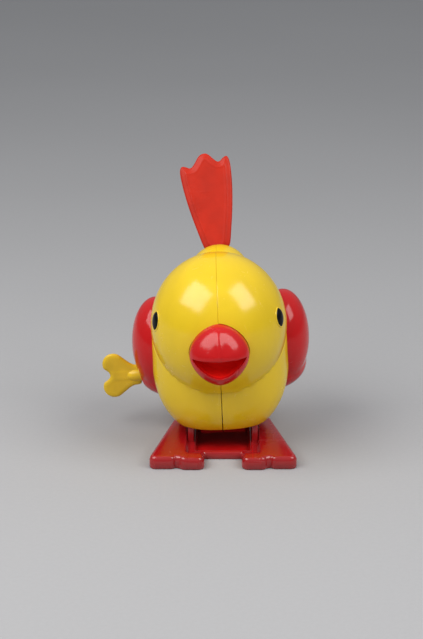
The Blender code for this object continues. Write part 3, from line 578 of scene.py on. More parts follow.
# ---------------------------------------------------------------- body
CORE = np.array((0.0, 3.0, 38.0)) * MM      # a point inside the head and the barrel
FAR_ENOUGH = 80.0 * MM                      # beyond the body's outside on every heading
CREASE_DEPTH = 0.26 * MM
CREASE_WIDTH = 0.24 * MM
HALF_ACROSS = 24.0 * MM                     # from the core out to a flank
SEAM_ROWS = (0.0, 0.04, 0.12, 0.22, 0.35, 0.6)   # mm from the seam, for its rounded edge
FLANK_ROWS_FROM = 1.1 * MM
SEAM_OPENS_BELOW = 33.0 * MM
SEAM_FADE = 4.0 * MM
RIM_ROWS = (0.0, 0.06, 0.16, 0.30, 0.50)         # mm above the rim, for its rounded edge
RIM_ROUND = 0.5 * MM
SHELL_AROUND = 190
BEAK_POWER = 1.75                           # 1 is a diamond, 2 is an ellipse
BEAK_SIDES = 96
BEAK_GAP = 0.14 * MM
BEAK_LOWER_ON_LEFT = 0.45 * MM              # the left half's opening starts lower than the right's
TAIL_GAP = 0.12 * MM
KEY_HOLE = 2.9 * MM
WING_KEY_HOLE = 4.4 * MM


def ellipsoid_reach(heads, start, centre, radii):
    """How far from the start each heading leaves an ellipsoid; zero where it misses."""
    way = heads / radii
    offset = (start - centre) / radii
    square = (way ** 2).sum(axis=1)
    slope = (way * offset).sum(axis=1)
    root = slope ** 2 - square * ((offset ** 2).sum() - 1.0)
    hit = root > 0.0
    reach = np.zeros(len(heads))
    reach[hit] = (-slope[hit] + np.sqrt(root[hit])) / square[hit]
    return np.maximum(reach, 0.0)


def barrel_reach(heads, sizes):
    """How far from the core each heading leaves the barrel."""
    centre, radii = np.array(sizes.barrel_at), np.array(sizes.barrel_radii)
    near, far = np.zeros(len(heads)), np.full(len(heads), FAR_ENOUGH)
    for _ in range(30):
        middle = (near + far) / 2
        share = np.abs((CORE + heads * middle[:, None] - centre) / radii)
        profile = share[:, 1] ** sizes.profile_power + share[:, 2] ** sizes.profile_power
        level = share[:, 0] ** sizes.side_power + profile ** (sizes.side_power / sizes.profile_power)
        near, far = np.where(level < 1.0, middle, near), np.where(level < 1.0, far, middle)
    return (near + far) / 2


def soft_max(first, second, softness):
    """The larger of two values, with the change from one to the other rounded."""
    return (first + second + np.sqrt((first - second) ** 2 + softness ** 2)) / 2


def crease_line(difference):
    """A fine groove where two rounds meet."""
    return CREASE_DEPTH * np.exp(-(difference / CREASE_WIDTH) ** 2)


def skin_reach(heads, sizes):
    """How far the outside of the body is from the core along each heading."""
    head = ellipsoid_reach(heads, CORE, np.array(sizes.head_at), np.array(sizes.head_radii))
    hump = ellipsoid_reach(heads, CORE, np.array(sizes.hump_at), np.array(sizes.hump_radii))
    barrel = barrel_reach(heads, sizes)
    reach = soft_max(head, barrel, sizes.crease) - crease_line(head - barrel)
    topped = soft_max(reach, hump, sizes.crease) - crease_line(reach - hump)
    return np.where(hump > 0.0, topped, reach)


def depth_under_skin(points, sizes):
    """How deep each point lies under the outside of the body; negative outside."""
    out = points - CORE
    distance = np.linalg.norm(out, axis=1)
    return skin_reach(out / distance[:, None], sizes) - distance


def half_headings(side, rises, around):
    """Rows of headings, each row right round, from the middle plane out to the side."""
    heads = []
    for rise in rises:
        for turn in np.linspace(0.0, 2 * math.pi, around, endpoint=False):
            flat = math.cos(rise)
            heads.append((side * math.sin(rise), flat * math.cos(turn), flat * math.sin(turn)))
    return np.array(heads)


def shell_surface(sizes, side):
    """The outside of one half, from its seam to its flank, open at the seam."""
    rises = [math.asin(x * MM / HALF_ACROSS) for x in SEAM_ROWS]
    rises += list(np.linspace(math.asin(FLANK_ROWS_FROM / HALF_ACROSS), math.radians(88.2), 62))
    heads = half_headings(side, rises, SHELL_AROUND)
    reach = skin_reach(heads, sizes)
    across = np.abs(heads[:, 0]) * reach
    reach = reach - rounded_drop(across, sizes.edge_round)
    points = CORE + heads * reach[:, None]
    share = np.clip((SEAM_OPENS_BELOW - points[:, 2]) / (SEAM_OPENS_BELOW - sizes.rim_height), 0.0, 1.0)
    gap = sizes.seam_top + (sizes.seam_bottom - sizes.seam_top) * share ** 0.8
    points[:, 0] += side * gap * np.exp(-across / SEAM_FADE)
    bm, _ = domed(CORE, points, SHELL_AROUND)
    return bm


def trim_rim(bm, sizes):
    """Opens the shell below its rim and rounds the edge that is left."""
    for height in RIM_ROWS:
        bmesh.ops.bisect_plane(bm, geom=[*bm.verts, *bm.edges, *bm.faces], dist=0.00002,
                               plane_co=(0.0, 0.0, sizes.rim_height + height * MM), plane_no=(0.0, 0.0, 1.0),
                               clear_inner=height == 0.0)
    for vertex in bm.verts:
        above = vertex.co.z - sizes.rim_height
        if above < RIM_ROUND:
            drop = float(rounded_drop(above, RIM_ROUND))
            flat = Vector((vertex.co.x - CORE[0], vertex.co.y - sizes.barrel_at[1], 0.0)).normalized()
            vertex.co -= flat * drop
    bmesh.ops.remove_doubles(bm, verts=bm.verts, dist=0.00003)


def key_bore(radius, start, end):
    """A round cutter on the key's axis."""
    outline = arc(0.0, 0.0, radius, 0, 360, 49)[:-1]
    return prism(outline, start, end, Matrix.Translation((0.0, KEY_AT.y, KEY_AT.z)) @ ALONG_X)


def beak_outline(face, extra=0.0, lower_top=0.0):
    """A rounded diamond about the beak's own middle."""
    points = []
    for i in range(BEAK_SIDES):
        angle = 2 * math.pi * (i + 0.5) / BEAK_SIDES
        across, up = math.cos(angle), math.sin(angle)
        reach = face.beak_top - lower_top if up > 0 else face.beak_bottom
        scale = (abs(across) ** BEAK_POWER + abs(up) ** BEAK_POWER) ** (-1 / BEAK_POWER)
        points.append(((face.beak_half_width + extra) * scale * across, (reach + extra) * scale * up))
    return points


def tail_slot(side_sizes):
    """The slot in the hump that the tail's root sits in."""
    half = [(3.4, -7.0), (3.4, -1.0), (4.7, -0.5), (7.2, 7.0)]
    half = [(x * MM + TAIL_GAP, y * MM) for x, y in half]
    thick = side_sizes.tail_thick / 2 + TAIL_GAP
    return prism(mirrored(half), -thick, thick, tail_frame(side_sizes) @ FACING)


def tail_frame(side_sizes):
    """The tail's own frame at its root."""
    turn = Matrix.Rotation(side_sizes.tail_roll, 4, 'Y') @ Matrix.Rotation(-side_sizes.tail_back, 4, 'X')
    return Matrix.Translation(side_sizes.tail_root) @ turn


def make_shells(scene):
    sizes, face, sides = scene.bird_body, scene.bird_face, scene.bird_sides
    yellow = moulded_plastic("yellow_plastic_gloss", scene.bird_colours.yellow, 0.13)
    for side, name in ((-1, "left"), (1, "right")):
        bm = shell_surface(sizes, side)
        trim_rim(bm, sizes)
        wall = shaped(to_mesh(bm, "shell"), [('SOLIDIFY', {"thickness": sizes.wall, "offset": -1.0})])
        lower_top = BEAK_LOWER_ON_LEFT if side < 0 else 0.0
        opening = prism(beak_outline(face, BEAK_GAP, lower_top), -6.0 * MM, 20.0 * MM,
                        Matrix.Translation(face.beak_at) @ FACING)
        cutters = [opening, tail_slot(sides)]
        if side < 0:
            cutters.append(key_bore(KEY_HOLE, -45.0 * MM, -12.0 * MM))
        mesh = combined(wall, cutters, 'DIFFERENCE')
        mesh.transform(BIRD)
        add_piece(f"shell_{name}_visual", mesh, yellow, "bird", [f"body_shell_{name}"],
                  45.0)


# ---------------------------------------------------------------- eyes
EYE_DOME = 0.75 * MM            # how far the black eye bulges
EYE_DEPTH = 0.7 * MM            # how far it goes into the head
EYE_SPACING = 0.22 * MM
EYE_RIM_WIDEN = 1.15            # the rim is this much wider than high


def almond(face, extra=0.0):
    """The eye's outline: two arcs that meet in points above and below."""
    half_height = face.eye_height / 2 + extra
    half_width = face.eye_width / 2 + extra * 0.9
    radius = (half_height ** 2 + half_width ** 2) / (2 * half_width)
    swing = math.degrees(math.asin(half_height / radius))
    right = arc(half_width - radius, 0, radius, -swing, swing, 31)
    left = arc(radius - half_width, 0, radius, 180 - swing, 180 + swing, 31)
    return right[:-1] + left[:-1]


def eye_frame(sizes, face, side):
    """Stands on the head at the eye, with Z out of the head and Y up."""
    at = Vector(face.eye_left_at if side < 0 else face.eye_right_at)
    offset = at - Vector(sizes.head_at)
    out = Vector(offset[i] / sizes.head_radii[i] ** 2 for i in range(3)).normalized()
    across = Vector((0, 0, 1)).cross(out).normalized()
    turn = Matrix((across, out.cross(across), out)).transposed().to_4x4()
    return Matrix.Translation(at) @ turn


def laid_on_head(mesh, sizes, place, lift):
    """Drapes a flat mesh over the head: its height becomes the height above the skin."""
    normal = (place.to_3x3() @ Vector((0, 0, 1))).normalized()
    for vertex in mesh.vertices:
        flat = place @ Vector((vertex.co.x, vertex.co.y, 0.0))
        out = np.array(flat - Vector(CORE))
        heading = out / np.linalg.norm(out)
        reach = skin_reach(heading[None, :], sizes)[0]
        vertex.co = Vector(CORE + heading * reach) + normal * (vertex.co.z + lift)


def eye_ring(face):
    """The raised rim that follows the almond."""
    outline = evenly(almond(face, 0.5 * face.eye_rim), EYE_SPACING)
    section = circle(face.eye_rim, 0.0, 12)
    rings = []
    for before, here, after in zip(np.roll(outline, 1, axis=0), outline, np.roll(outline, -1, axis=0)):
        along = (after - before) / np.linalg.norm(after - before)
        side = np.array((along[1], -along[0]))
        rings.append([(*(here + side * (EYE_RIM_WIDEN * across)), height) for across, height, _ in section])
    return lofted("eye_ring", rings, capped=False)


def make_eyes(scene):
    sizes, face = scene.bird_body, scene.bird_face
    black = moulded_plastic("black_gloss_eye", scene.bird_colours.black, 0.05, waviness=0.03, wear=0.04,
                            shine=0.11)
    # Painted highlight: the eye rims are the shell's yellow made lighter, as if catching the light.
    highlight_yellow = tuple(min(1.0, channel * 1.1 + 0.02) for channel in scene.bird_colours.yellow)
    rim = moulded_plastic("yellow_rim_painted_highlight", highlight_yellow, 0.16)
    for side, name in ((-1, "left"), (1, "right")):
        place = eye_frame(sizes, face, side)
        swell = face.eye_width / 2

        def front(u, v, distance):
            return 0.05 * MM + EYE_DOME * np.sqrt(1 - (1 - np.clip(distance / swell, 0, 1)) ** 2)

        def back(u, v, distance):
            return np.full(len(u), -EYE_DEPTH)

        eye = slab(almond(face, 0.05 * MM), EYE_SPACING, front, back, Matrix.Identity(4))
        laid_on_head(eye, sizes, place, 0.0)
        eye.transform(BIRD)
        add_piece(f"eye_{name}_visual", eye, black, "bird", [f"eye_{name}"], 60.0)
        ring = eye_ring(face)
        laid_on_head(ring, sizes, place, 0.06 * MM)
        ring.transform(BIRD)
        add_piece(f"eye_rim_{name}", ring, rim, "bird", (), 60.0)


# ---------------------------------------------------------------- beak
KEEL_HEIGHT = 1.15 * MM
KEEL_WIDTH = 1.9 * MM
MOUTH_CORNER = 0.94             # share of the beak's half width
MOUTH_LIP_SAG = 0.1 * MM
MOUTH_DEPTH = 6.6 * MM
MOUTH_MIDDLE = 1.8 * MM         # below the beak's middle
# How far forward in mm, and the share of the full outline there
MOUTH_RINGS = ((0.4, 0.50), (1.0, 0.70), (2.2, 0.84), (3.8, 0.93), (5.4, 0.98), (6.8, 1.0), (12.0, 1.0))


def beak_solid(face):
    """The beak closed, from its root inside the head to its rounded tip."""
    stations = [(-3.4 * MM, 1.0), (-1.6 * MM, 1.0), (-0.4 * MM, 1.0)]
    slopes = (math.radians(degrees) for degrees in range(3, 89, 4))
    stations += [(face.beak_reach * math.sin(slope), math.cos(slope)) for slope in slopes]
    rings = []
    for forward, share in stations:
        points = []
        for u, v in beak_outline(face):
            upright = max(0.0, v) ** 2 / (u * u + v * v)
            shrink = share ** (0.85 + 0.55 * upright)
            u, v = u * shrink, v * shrink
            keel = KEEL_HEIGHT * math.exp(-math.hypot(u, 0.3 * MM) / KEEL_WIDTH)
            keel *= min(1.0, max(0.0, (v + 1.5 * MM) / (3.0 * MM))) * min(1.0, max(0.0, forward / (3.5 * MM)))
            points.append((u, v, forward + keel))
        rings.append(points)
    return lofted("beak", rings)


def mouth_cutter(face):
    """The open mouth: a nearly straight lip above and a deep round below, narrower at the back."""
    corner = MOUTH_CORNER * face.beak_half_width
    count = 28
    outline = []
    for i in range(count + 1):
        u = corner * (1 - 2 * i / count)
        outline.append((u, -MOUTH_LIP_SAG * (1 - (u / corner) ** 2)))
    for i in range(1, count):
        u = -corner * math.cos(math.pi * i / count)
        outline.append((u, -0.05 * MM - MOUTH_DEPTH * (1 - abs(u / corner) ** 1.8)))
    rings = [[(u * share ** 0.5, (v + MOUTH_MIDDLE) * share - MOUTH_MIDDLE, forward * MM) for u, v in outline]
             for forward, share in MOUTH_RINGS]
    return lofted("mouth", rings)


def make_beak(scene):
    face = scene.bird_face
    red = moulded_plastic("red_plastic_beak", scene.bird_colours.red, 0.09, waviness=0.08, shine=0.36)
    mesh = combined(beak_solid(face), [mouth_cutter(face)], 'DIFFERENCE')
    mesh = shaped(mesh, [('REMESH', {"mode": 'VOXEL', "voxel_size": 0.17 * MM}),
                         ('SMOOTH', {"factor": 0.5, "iterations": 7})])
    place = BIRD @ Matrix.Translation(face.beak_at) @ FACING
    mesh.transform(place)
    item = add_piece("beak_visual", mesh, red, "bird", ["beak"], 80.0)
    to_beak = place.inverted()

    def in_mouth(middle):
        u, v, forward = to_beak @ middle
        share = min(1.0, math.hypot(u / face.beak_half_width, v / face.beak_bottom))
        return v < 0.3 * MM and 0.1 * MM < forward < face.beak_reach * math.sqrt(1 - share ** 2) - 1.2 * MM

    # Painted light: the inside of the mouth gets a lighter, matt copy of the beak's red.
    second_finish(item, matt_painted_light_and_shade("red_mouth_painted_light", scene.bird_colours.mouth_painted_light_red), in_mouth)


# ---------------------------------------------------------------- wings
# Centres and radii in mm for the wing at x > 0
WING_CORE = (16.0, 14.0, 31.0)
WING_LOBES = (
    ((21.9, 12.0, 33.6), (8.9, 13.0, 16.4)),
    ((15.9, 14.0, 23.4), (13.8, 13.0, 10.0)),
    ((18.0, 20.5, 29.5), (10.5, 10.5, 8.0)),
    ((17.5, 19.0, 39.5), (9.8, 10.0, 8.0)),
)
WING_SHIFT = {-1: (0.0, 0.0, -0.5), 1: (0.55, 0.0, 0.6)}     # neither wing sits quite level
WING_AROUND = 150
WING_OVERLAP = 1.0 * MM         # how far a wing's edge goes under the body's skin


def wing_surface(sizes, side):
    """The outside of one wing, kept where it stands out of the body and a little under its skin."""
    core = np.array((side * WING_CORE[0], *WING_CORE[1:])) * MM
    rises = np.radians(np.linspace(-22.0, 88.8, 84))
    heads = half_headings(side, rises, WING_AROUND)
    reach = np.zeros(len(heads))
    for centre, radii in WING_LOBES:
        at = (np.array((side * centre[0], *centre[1:])) + WING_SHIFT[side]) * MM
        reach = soft_max(reach, ellipsoid_reach(heads, core, at, np.array(radii) * MM), 0.25 * MM)
    points = core + heads * reach[:, None]
    deep = depth_under_skin(points, sizes) > WING_OVERLAP
    bm, vertices = domed(core, points, WING_AROUND)
    hidden = [vertex for vertex, is_deep in zip(vertices, deep) if is_deep]
    bmesh.ops.delete(bm, geom=hidden, context='VERTS')
    loose = [vertex for vertex in bm.verts if not vertex.link_faces]
    bmesh.ops.delete(bm, geom=loose, context='VERTS')
    return bm


def make_wings(scene):
    sizes, sides = scene.bird_body, scene.bird_sides
    red = moulded_plastic("red_plastic_wing", scene.bird_colours.red, 0.07, waviness=0.07, shine=0.36)
    for side, name in ((-1, "left"), (1, "right")):
        dome = to_mesh(wing_surface(sizes, side), "wing")
        mesh = shaped(dome, [('SOLIDIFY', {"thickness": sides.wing_wall, "offset": -1.0})])
        if side < 0:
            mesh = combined(mesh, [key_bore(WING_KEY_HOLE, -45.0 * MM, -20.0 * MM)], 'DIFFERENCE')
        mesh.transform(BIRD)
        add_piece(f"wing_{name}_visual", mesh, red, "bird", [f"wing_{name}"], 50.0)


# ---------------------------------------------------------------- tail
# Half of the feather in mm, from its root to the middle tip
TAIL_HALF = ((3.4, -6.7), (3.4, -0.5), (4.6, 0.0), (5.8, 5.5), (6.9, 10.5), (7.9, 16.0), (8.7, 22.0),
             (9.1, 27.5), (8.7, 29.8), (7.9, 30.4), (6.6, 30.0), (5.1, 29.0), (3.6, 30.4), (1.9, 32.8),
             (0.8, 33.6))
TAIL_RISE = 1.5                 # mm that the right corner stands higher
TAIL_RISE_FROM, TAIL_RISE_RUN = 22.0, 8.0
TAIL_HALF_WIDTH = 9.1


def tail_outline():
    """The feather from its root up the right side to the middle tip, and down the left side."""
    right = []
    for x, y in TAIL_HALF:
        rise = TAIL_RISE * max(0.0, (y - TAIL_RISE_FROM) / TAIL_RISE_RUN) * x / TAIL_HALF_WIDTH
        right.append((x * MM, (y + rise) * MM))
    return right + [(-x * MM, y * MM) for x, y in reversed(TAIL_HALF)]


def make_tail(scene):
    sides = scene.bird_sides
    red = satin_plastic("tail_plastic_satin", scene.bird_colours.tail_red, 0.36, 0.22)
    half = sides.tail_thick / 2
    border, line = 1.75 * MM, 0.32 * MM

    def face(u, v, distance):
        chamfer = 0.42 * half + 0.40 * half * np.clip(distance / border, 0.0, 1.0)
        chamfer -= rounded_drop(distance, 0.45 * MM) * 0.7
        panel = 0.13 * half * smooth_step((distance - border) / line)
        bead = 0.09 * half * np.exp(-((distance - border - line) / (0.30 * MM)) ** 2)
        return chamfer + panel + bead

    def rear(u, v, distance):
        return -face(u, v, distance)

    outline = softened(tail_outline(), 2)
    mesh = slab(outline, 0.34 * MM, face, rear, Matrix.Identity(4))
    mesh.transform(BIRD @ tail_frame(sides) @ FACING)
    add_piece("tail_visual", mesh, red, "bird", ["tail"], 50.0)


# ---------------------------------------------------------------- key
KEY_STEM = ((0.0, -20.0), (1.3, -20.0), (1.3, -12.2), (2.05, -12.2), (2.3, -12.45), (2.3, -29.6),
            (2.15, -31.2), (1.7, -32.5), (0.9, -33.3), (0.0, -33.5))     # radius and place along the axis


def key_outline(sides):
    """The butterfly in (distance from the middle, height): two round lobes and a deep notch."""
    lobe = arc(-37.9 * MM, 4.2 * MM, sides.key_lobe, 50, 205, 22)
    waist = [(-28.0 * MM, 3.0 * MM), (-28.8 * MM, 3.6 * MM), (-31.4 * MM, 3.8 * MM)]
    upper = waist + lobe + [(-39.8 * MM, 1.5 * MM), (-39.2 * MM, 0.5 * MM)]
    return upper + [(x, -z) for x, z in reversed(upper)]


def make_key(scene):
    sides = scene.bird_sides
    yellow = satin_plastic("key_plastic_satin", scene.bird_colours.key_yellow, 0.26)
    half = sides.key_thick / 2

    def face(u, v, distance):
        pillow = half * (0.25 + 0.75 * np.sqrt(1 - (1 - np.clip(distance / (1.7 * MM), 0, 1)) ** 2))
        band = np.clip(1 - (np.abs(v) / (1.9 * MM)) ** 4, 0.0, 1.0) * np.clip(distance / (1.0 * MM), 0.0, 1.0)
        inner = np.clip((-u - 27.5 * MM) / (12.0 * MM), 0.0, 1.0)
        return pillow + 0.22 * MM * band * (1.0 - 0.6 * inner)

    def rear(u, v, distance):
        return -face(u, v, distance)

    blade = slab(softened(key_outline(sides), 2), 0.26 * MM, face, rear, FACING)
    stem = turned([(radius * MM, along * MM) for radius, along in KEY_STEM], 48, ALONG_X)
    mesh = combined(blade, [stem], 'UNION')
    mesh.transform(BIRD @ Matrix.Translation((0.0, KEY_AT.y, KEY_AT.z)))
    add_piece("winding_key_visual", mesh, yellow, "key", ["winding_key"], 50.0)


# ---------------------------------------------------------------- feet
TOE_ROUND = 2.4 * MM
TOE_INSIDE = 6.3 * MM           # from the middle plane to the inner toes
TOE_BACK = -20.6 * MM
TOE_DOME = (9.6 * MM, -23.6 * MM)                # middle of an inner toe's low dome, x and y
TOE_DOME_HEIGHT = 0.25 * MM
INNER_TOE_OUTSIDE, INNER_TOE_FRONT = 15.0 * MM, -26.9 * MM
OUTER_TOE_INSIDE, OUTER_TOE_FRONT = 15.7 * MM, -26.2 * MM
FOOT_OUTSIDE = 24.8 * MM
BAR_FRONT = -17.4 * MM
HEEL = (11.5 * MM, 20.5 * MM, 3.5 * MM)          # x, y and radius of the rear corner
POCKET_HALF, POCKET_FRONT, POCKET_BACK = 9.6 * MM, -16.3 * MM, 12.0 * MM
POCKET_DEPTH = 2.0 * MM
EAR_INSIDE, EAR_THICK = 10.0 * MM, 2.0 * MM
EAR_TOP, EAR_TOP_ROUND = 23.2 * MM, 3.0 * MM
EAR_HALF_DEPTH, EAR_TOP_HALF_DEPTH = 6.0 * MM, 4.0 * MM
CRANK_THROW, CRANK_SLOT = 1.35 * MM, 1.3 * MM    # the pin's throw and the slot's half width


def foot_outline():
    """Half of the feet's plan for x > 0, from the middle of the cross bar round to the rear."""
    inner_y = INNER_TOE_FRONT + TOE_ROUND
    outer_y = OUTER_TOE_FRONT + TOE_ROUND
    inner = arc(TOE_INSIDE + TOE_ROUND, inner_y, TOE_ROUND, 180, 270, 12)
    inner += arc(INNER_TOE_OUTSIDE - TOE_ROUND, inner_y, TOE_ROUND, 270, 330, 10)
    outer = arc(OUTER_TOE_INSIDE + TOE_ROUND, outer_y, TOE_ROUND, 213, 270, 10)
    outer += arc(FOOT_OUTSIDE - TOE_ROUND, outer_y, TOE_ROUND, 270, 365, 12)
    return [(TOE_INSIDE, BAR_FRONT)] + inner + outer + arc(*HEEL, 12, 90, 12)


def ear_plate(x_from, x_to):
    """One ear, with a hole for the hop pin and a slot for the crank pin."""
    crank = BIRD.inverted() @ Vector(JOINTS["crank_turn"]["pos_m"])
    front, back = HOP_PIN.y - EAR_HALF_DEPTH, HOP_PIN.y + EAR_HALF_DEPTH
    corner, corner_z = EAR_TOP_HALF_DEPTH - EAR_TOP_ROUND, EAR_TOP - EAR_TOP_ROUND
    outline = [(front, 1.5 * MM), (back, 1.5 * MM), (back, 9.0 * MM)]
    outline += arc(crank.y + corner, corner_z, EAR_TOP_ROUND, 0, 90, 10)
    outline += arc(crank.y - corner, corner_z, EAR_TOP_ROUND, 90, 180, 10)
    outline += [(front, 11.0 * MM)]
    plate = prism(outline, x_from, x_to, ALONG_X)
    slot = arc(crank.y, crank.z + CRANK_THROW, CRANK_SLOT, 0, 180, 16)
    slot += arc(crank.y, crank.z - CRANK_THROW, CRANK_SLOT, 180, 360, 16)
    hole = arc(HOP_PIN.y, HOP_PIN.z, 1.5 * MM, 0, 360, 33)[:-1]
    cutters = [prism(shape, x_from - 1.0 * MM, x_to + 1.0 * MM, ALONG_X) for shape in (slot, hole)]
    plate = combined(plate, cutters, 'DIFFERENCE')
    return shaped(plate, [('BEVEL', {"width": 0.25 * MM, "segments": 3, "limit_method": 'ANGLE',
                                     "angle_limit": math.radians(40)})])


def make_feet(scene):
    sizes = scene.bird_feet
    red = moulded_plastic("red_plastic_feet", scene.bird_colours.feet_red, 0.13, waviness=0.05, wear=0.08,
                          shine=0.75)

    def top(u, v, distance):
        width = np.abs(u)
        plate = smooth_step((width - sizes.recess_half + 0.5 * MM) / (0.9 * MM))
        toe = smooth_step((width - TOE_INSIDE) / (0.8 * MM))
        toe = toe * smooth_step((TOE_BACK - v + 1.0 * MM) / (2.0 * MM))
        height = sizes.web + (sizes.sole - sizes.web) * np.maximum(plate, toe)
        rounding = np.where(height > sizes.web + 0.3 * MM, sizes.edge * 1.6, sizes.edge * 0.8)
        pocket = smooth_step((POCKET_HALF - width) / (0.7 * MM))
        pocket = pocket * smooth_step((v - POCKET_FRONT) / (0.7 * MM))
        pocket = pocket * smooth_step((POCKET_BACK - v) / (0.8 * MM))
        height = height - POCKET_DEPTH * pocket - rounded_drop(distance, rounding)
        from_dome = ((width - TOE_DOME[0]) / (2.6 * MM)) ** 2 + ((v - TOE_DOME[1]) / (2.4 * MM)) ** 2
        return height + TOE_DOME_HEIGHT * (np.exp(-from_dome) - toe * (1 - plate))

    def base(u, v, distance):
        return rounded_drop(distance, 0.4 * MM)

    plates = slab(mirrored(foot_outline()), sizes.spacing, top, base, Matrix.Identity(4))
    outside = EAR_INSIDE + EAR_THICK
    ears = [ear_plate(EAR_INSIDE, outside), ear_plate(-outside, -EAR_INSIDE)]
    mesh = combined(plates, ears, 'UNION')
    item = add_piece("feet_visual", mesh, red, "feet", ["feet_frame"], 70.0)

    def in_pocket(middle):
        out = abs(middle.x)
        along = POCKET_FRONT + 0.2 * MM < middle.y < POCKET_BACK + 0.2 * MM
        low = 0.1 * MM < middle.z < 2.7 * MM
        on_ear = middle.z > 1.0 * MM and abs(out - EAR_INSIDE) < 0.02 * MM
        return (out < POCKET_HALF + 0.3 * MM and along and low) or on_ear

    # Painted shade: the pocket and the ears' inner faces get a matt, low-sheen copy of the feet's red.
    second_finish(item, matt_painted_light_and_shade("red_feet_painted_shade", scene.bird_colours.pocket_painted_shade_red), in_pocket)


# ---------------------------------------------------------------- motor
def motor_materials(colours):
    """A finish for each kind of inner part."""
    return {
        # The case's red is darkened to the shaded red under the belly: red plastic with painted shade.
        "case_plastic": satin_plastic("case_plastic_red_painted_shade", colours.case_red_with_painted_shade, 0.36),
        "gear_plastic": satin_plastic("gear_plastic_white", colours.gear_white, 0.36),
        "steel": rolled_metal("steel_turned", colours.steel, 0.22, (2500.0, 120.0, 120.0), 0.62),
        "spring_steel": rolled_metal("spring_steel_rolled", colours.spring, 0.26, (2500.0, 90.0, 90.0), 0.55),
        "brass": rolled_metal("brass_turned", colours.brass, 0.24, (120.0, 2200.0, 120.0), 0.60),
    }


def finish_motor(scene):
    """Gives each inner part the finish of its record's material slot."""
    finishes = motor_materials(scene.bird_colours)
    slots = {subpart["node"]: subpart["material_slot"] for subpart in frame["record"]["subparts"]}
    for name, item in frame["nodes"].items():
        finish = finishes.get(slots.get(name))
        if finish is not None:
            item.data.materials.clear()
            item.data.materials.append(finish)


# ---------------------------------------------------------------- stage
TOY_MIDDLE = Vector((0.0, 0.0, 45.0)) * MM
LOOK_AT = Vector((-3.9, 0.0, 44.5)) * MM
LIGHT_AWAY = 0.62               # metres from the toy's middle
LIGHT_TALL = 0.40
WARM_WHITE = (1.0, 0.985, 0.96)
COOL_WHITE = (0.95, 0.97, 1.0, 1.0)
FLOOR_RINGS = (0.15, 0.5, 1.5, 6.0, 25.0)        # radii in metres; the last is out of sight


def soft_box(name, azimuth, height, width, power):
    """A light aimed at the toy, by degrees; azimuth 0 is straight in front, growing to the right."""
    azimuth, height = math.radians(azimuth), math.radians(height)
    light = bpy.data.lights.new(name, 'AREA')
    light.shape = 'RECTANGLE'
    light.size = width
    light.size_y = LIGHT_TALL
    light.energy = power
    light.color = WARM_WHITE
    item = bpy.data.objects.new(name, light)
    bpy.context.scene.collection.objects.link(item)
    flat = math.cos(height)
    out = Vector((math.sin(azimuth) * flat, -math.cos(azimuth) * flat, math.sin(height)))
    item.location = TOY_MIDDLE + out * LIGHT_AWAY
    item.rotation_euler = (-out).to_track_quat('-Z', 'Y').to_euler()
    return item


def floor_mesh(stage):
    """A wide flat floor, laid in rings."""
    bm = bmesh.new()
    rows = [[bm.verts.new(point) for point in circle(radius, 0.0, stage.around)] for radius in FLOOR_RINGS]
    grid_faces(bm, rows)
    bm.faces.new(rows[0])
    bmesh.ops.recalc_face_normals(bm, faces=bm.faces)
    return to_mesh(bm, "floor")


def light_all_round(stage):
    """A plain sky, a little brighter overhead than at the horizon."""
    world = bpy.data.worlds.new("studio")
    world.use_nodes = True
    tree = world.node_tree
    background = tree.nodes["Background"]
    background.inputs["Color"].default_value = COOL_WHITE
    coords = tree.nodes.new("ShaderNodeTexCoord")
    split = tree.nodes.new("ShaderNodeSeparateXYZ")
    tree.links.new(coords.outputs["Generated"], split.inputs["Vector"])
    overhead = spread(tree, split.outputs["Z"], 0.0, 1.0, 0.75 * stage.fill, 2.2 * stage.fill)
    tree.links.new(overhead, background.inputs["Strength"])
    return world


def make_camera(stage):
    """The camera in front, looking a little down."""
    camera = bpy.data.cameras.new("camera")
    camera.lens = stage.lens
    camera.sensor_width = 36.0
    camera.clip_start = 0.01
    item = bpy.data.objects.new("camera", camera)
    bpy.context.scene.collection.objects.link(item)
    item.rotation_euler = (math.pi / 2 - stage.height, 0.0, 0.0)
    back = Vector((0.0, -math.cos(stage.height), math.sin(stage.height)))
    item.location = LOOK_AT + back * stage.distance
    return item


def set_stage(scene):
    stage = scene.bird_stage
    floor = add_piece("floor", floor_mesh(stage), pale_paper("pale_paper", stage.floor))
    lights = [
        soft_box("softbox_left", -60, 47, 0.50, stage.key_light),
        soft_box("softbox_right", 62, 46, 0.32, stage.side_light),
    ]
    scene.world = light_all_round(stage)
    scene.camera = make_camera(stage)
    scene.view_settings.view_transform = 'Standard'


# ---------------------------------------------------------------- operators
class BIRD_OT_shells(bpy.types.Operator):
    """Make the two yellow body shells"""
    bl_idname = "hopping_bird.shells"
    bl_label = "Body Shells"

    def execute(self, context):
        make_shells(context.scene)
        return {'FINISHED'}


class BIRD_OT_eyes(bpy.types.Operator):
    """Make the black eyes and their rims"""
    bl_idname = "hopping_bird.eyes"
    bl_label = "Eyes"

    def execute(self, context):
        make_eyes(context.scene)
        return {'FINISHED'}


class BIRD_OT_beak(bpy.types.Operator):
    """Make the open red beak"""
    bl_idname = "hopping_bird.beak"
    bl_label = "Beak"

    def execute(self, context):
        make_beak(context.scene)
        return {'FINISHED'}


class BIRD_OT_wings(bpy.types.Operator):
    """Make the two red wings"""
    bl_idname = "hopping_bird.wings"
    bl_label = "Wings"

    def execute(self, context):
        make_wings(context.scene)
        return {'FINISHED'}


class BIRD_OT_tail(bpy.types.Operator):
    """Make the red tail"""
    bl_idname = "hopping_bird.tail"
    bl_label = "Tail"

    def execute(self, context):
        make_tail(context.scene)
        return {'FINISHED'}


class BIRD_OT_key(bpy.types.Operator):
    """Make the winding key"""
    bl_idname = "hopping_bird.key"
    bl_label = "Winding Key"

    def execute(self, context):
        make_key(context.scene)
        return {'FINISHED'}


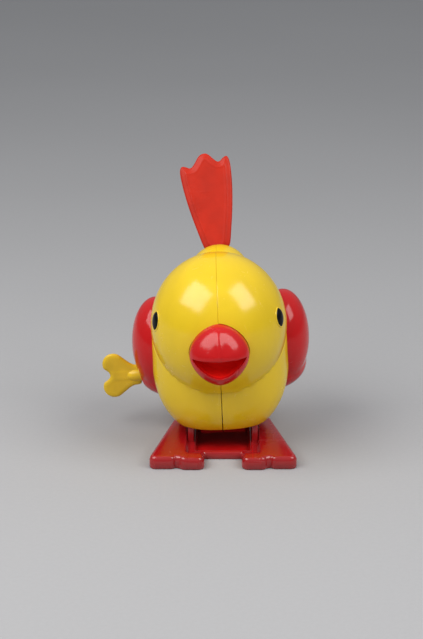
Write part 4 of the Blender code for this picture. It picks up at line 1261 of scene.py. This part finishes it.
class BIRD_OT_feet(bpy.types.Operator):
    """Make the red feet"""
    bl_idname = "hopping_bird.feet"
    bl_label = "Feet"

    def execute(self, context):
        make_feet(context.scene)
        return {'FINISHED'}


class BIRD_OT_motor(bpy.types.Operator):
    """Give the motor's parts their plastics and metals"""
    bl_idname = "hopping_bird.motor"
    bl_label = "Motor Finishes"

    def execute(self, context):
        finish_motor(context.scene)
        return {'FINISHED'}


class BIRD_OT_stage(bpy.types.Operator):
    """Set up the floor, lights and camera"""
    bl_idname = "hopping_bird.stage"
    bl_label = "Stage"

    def execute(self, context):
        set_stage(context.scene)
        return {'FINISHED'}


OPERATORS = (BIRD_OT_shells, BIRD_OT_eyes, BIRD_OT_beak, BIRD_OT_wings, BIRD_OT_tail, BIRD_OT_key,
             BIRD_OT_feet, BIRD_OT_motor, BIRD_OT_stage)
GROUPS = {"bird_body": BodySizes, "bird_face": FaceSizes, "bird_sides": SideSizes, "bird_feet": FeetSizes,
          "bird_colours": ToyColours, "bird_stage": StageSizes}


class BIRD_PT_panel(bpy.types.Panel):
    """Sizes, colours and steps of the hopping bird"""
    bl_label = "Hopping Bird"
    bl_idname = "BIRD_PT_panel"
    bl_space_type = 'VIEW_3D'
    bl_region_type = 'UI'
    bl_category = "Hopping Bird"

    def draw(self, context):
        for operator in OPERATORS:
            self.layout.operator(operator.bl_idname)
        for name, group in GROUPS.items():
            box = self.layout.box()
            box.label(text=group.__doc__)
            for key in group.__annotations__:
                box.prop(getattr(context.scene, name), key)


def register():
    for group in GROUPS.values():
        bpy.utils.register_class(group)
    for item in (*OPERATORS, BIRD_PT_panel):
        bpy.utils.register_class(item)
    for name, group in GROUPS.items():
        setattr(bpy.types.Scene, name, PointerProperty(type=group))


def unregister():
    for name in GROUPS:
        delattr(bpy.types.Scene, name)
    for item in (BIRD_PT_panel, *reversed(OPERATORS)):
        bpy.utils.unregister_class(item)
    for group in reversed(GROUPS.values()):
        bpy.utils.unregister_class(group)


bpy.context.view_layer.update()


def main():
    register()
    for operator in OPERATORS:
        group, name = operator.bl_idname.split(".")
        getattr(getattr(bpy.ops, group), name)()


if __name__ == "__main__":
    main()
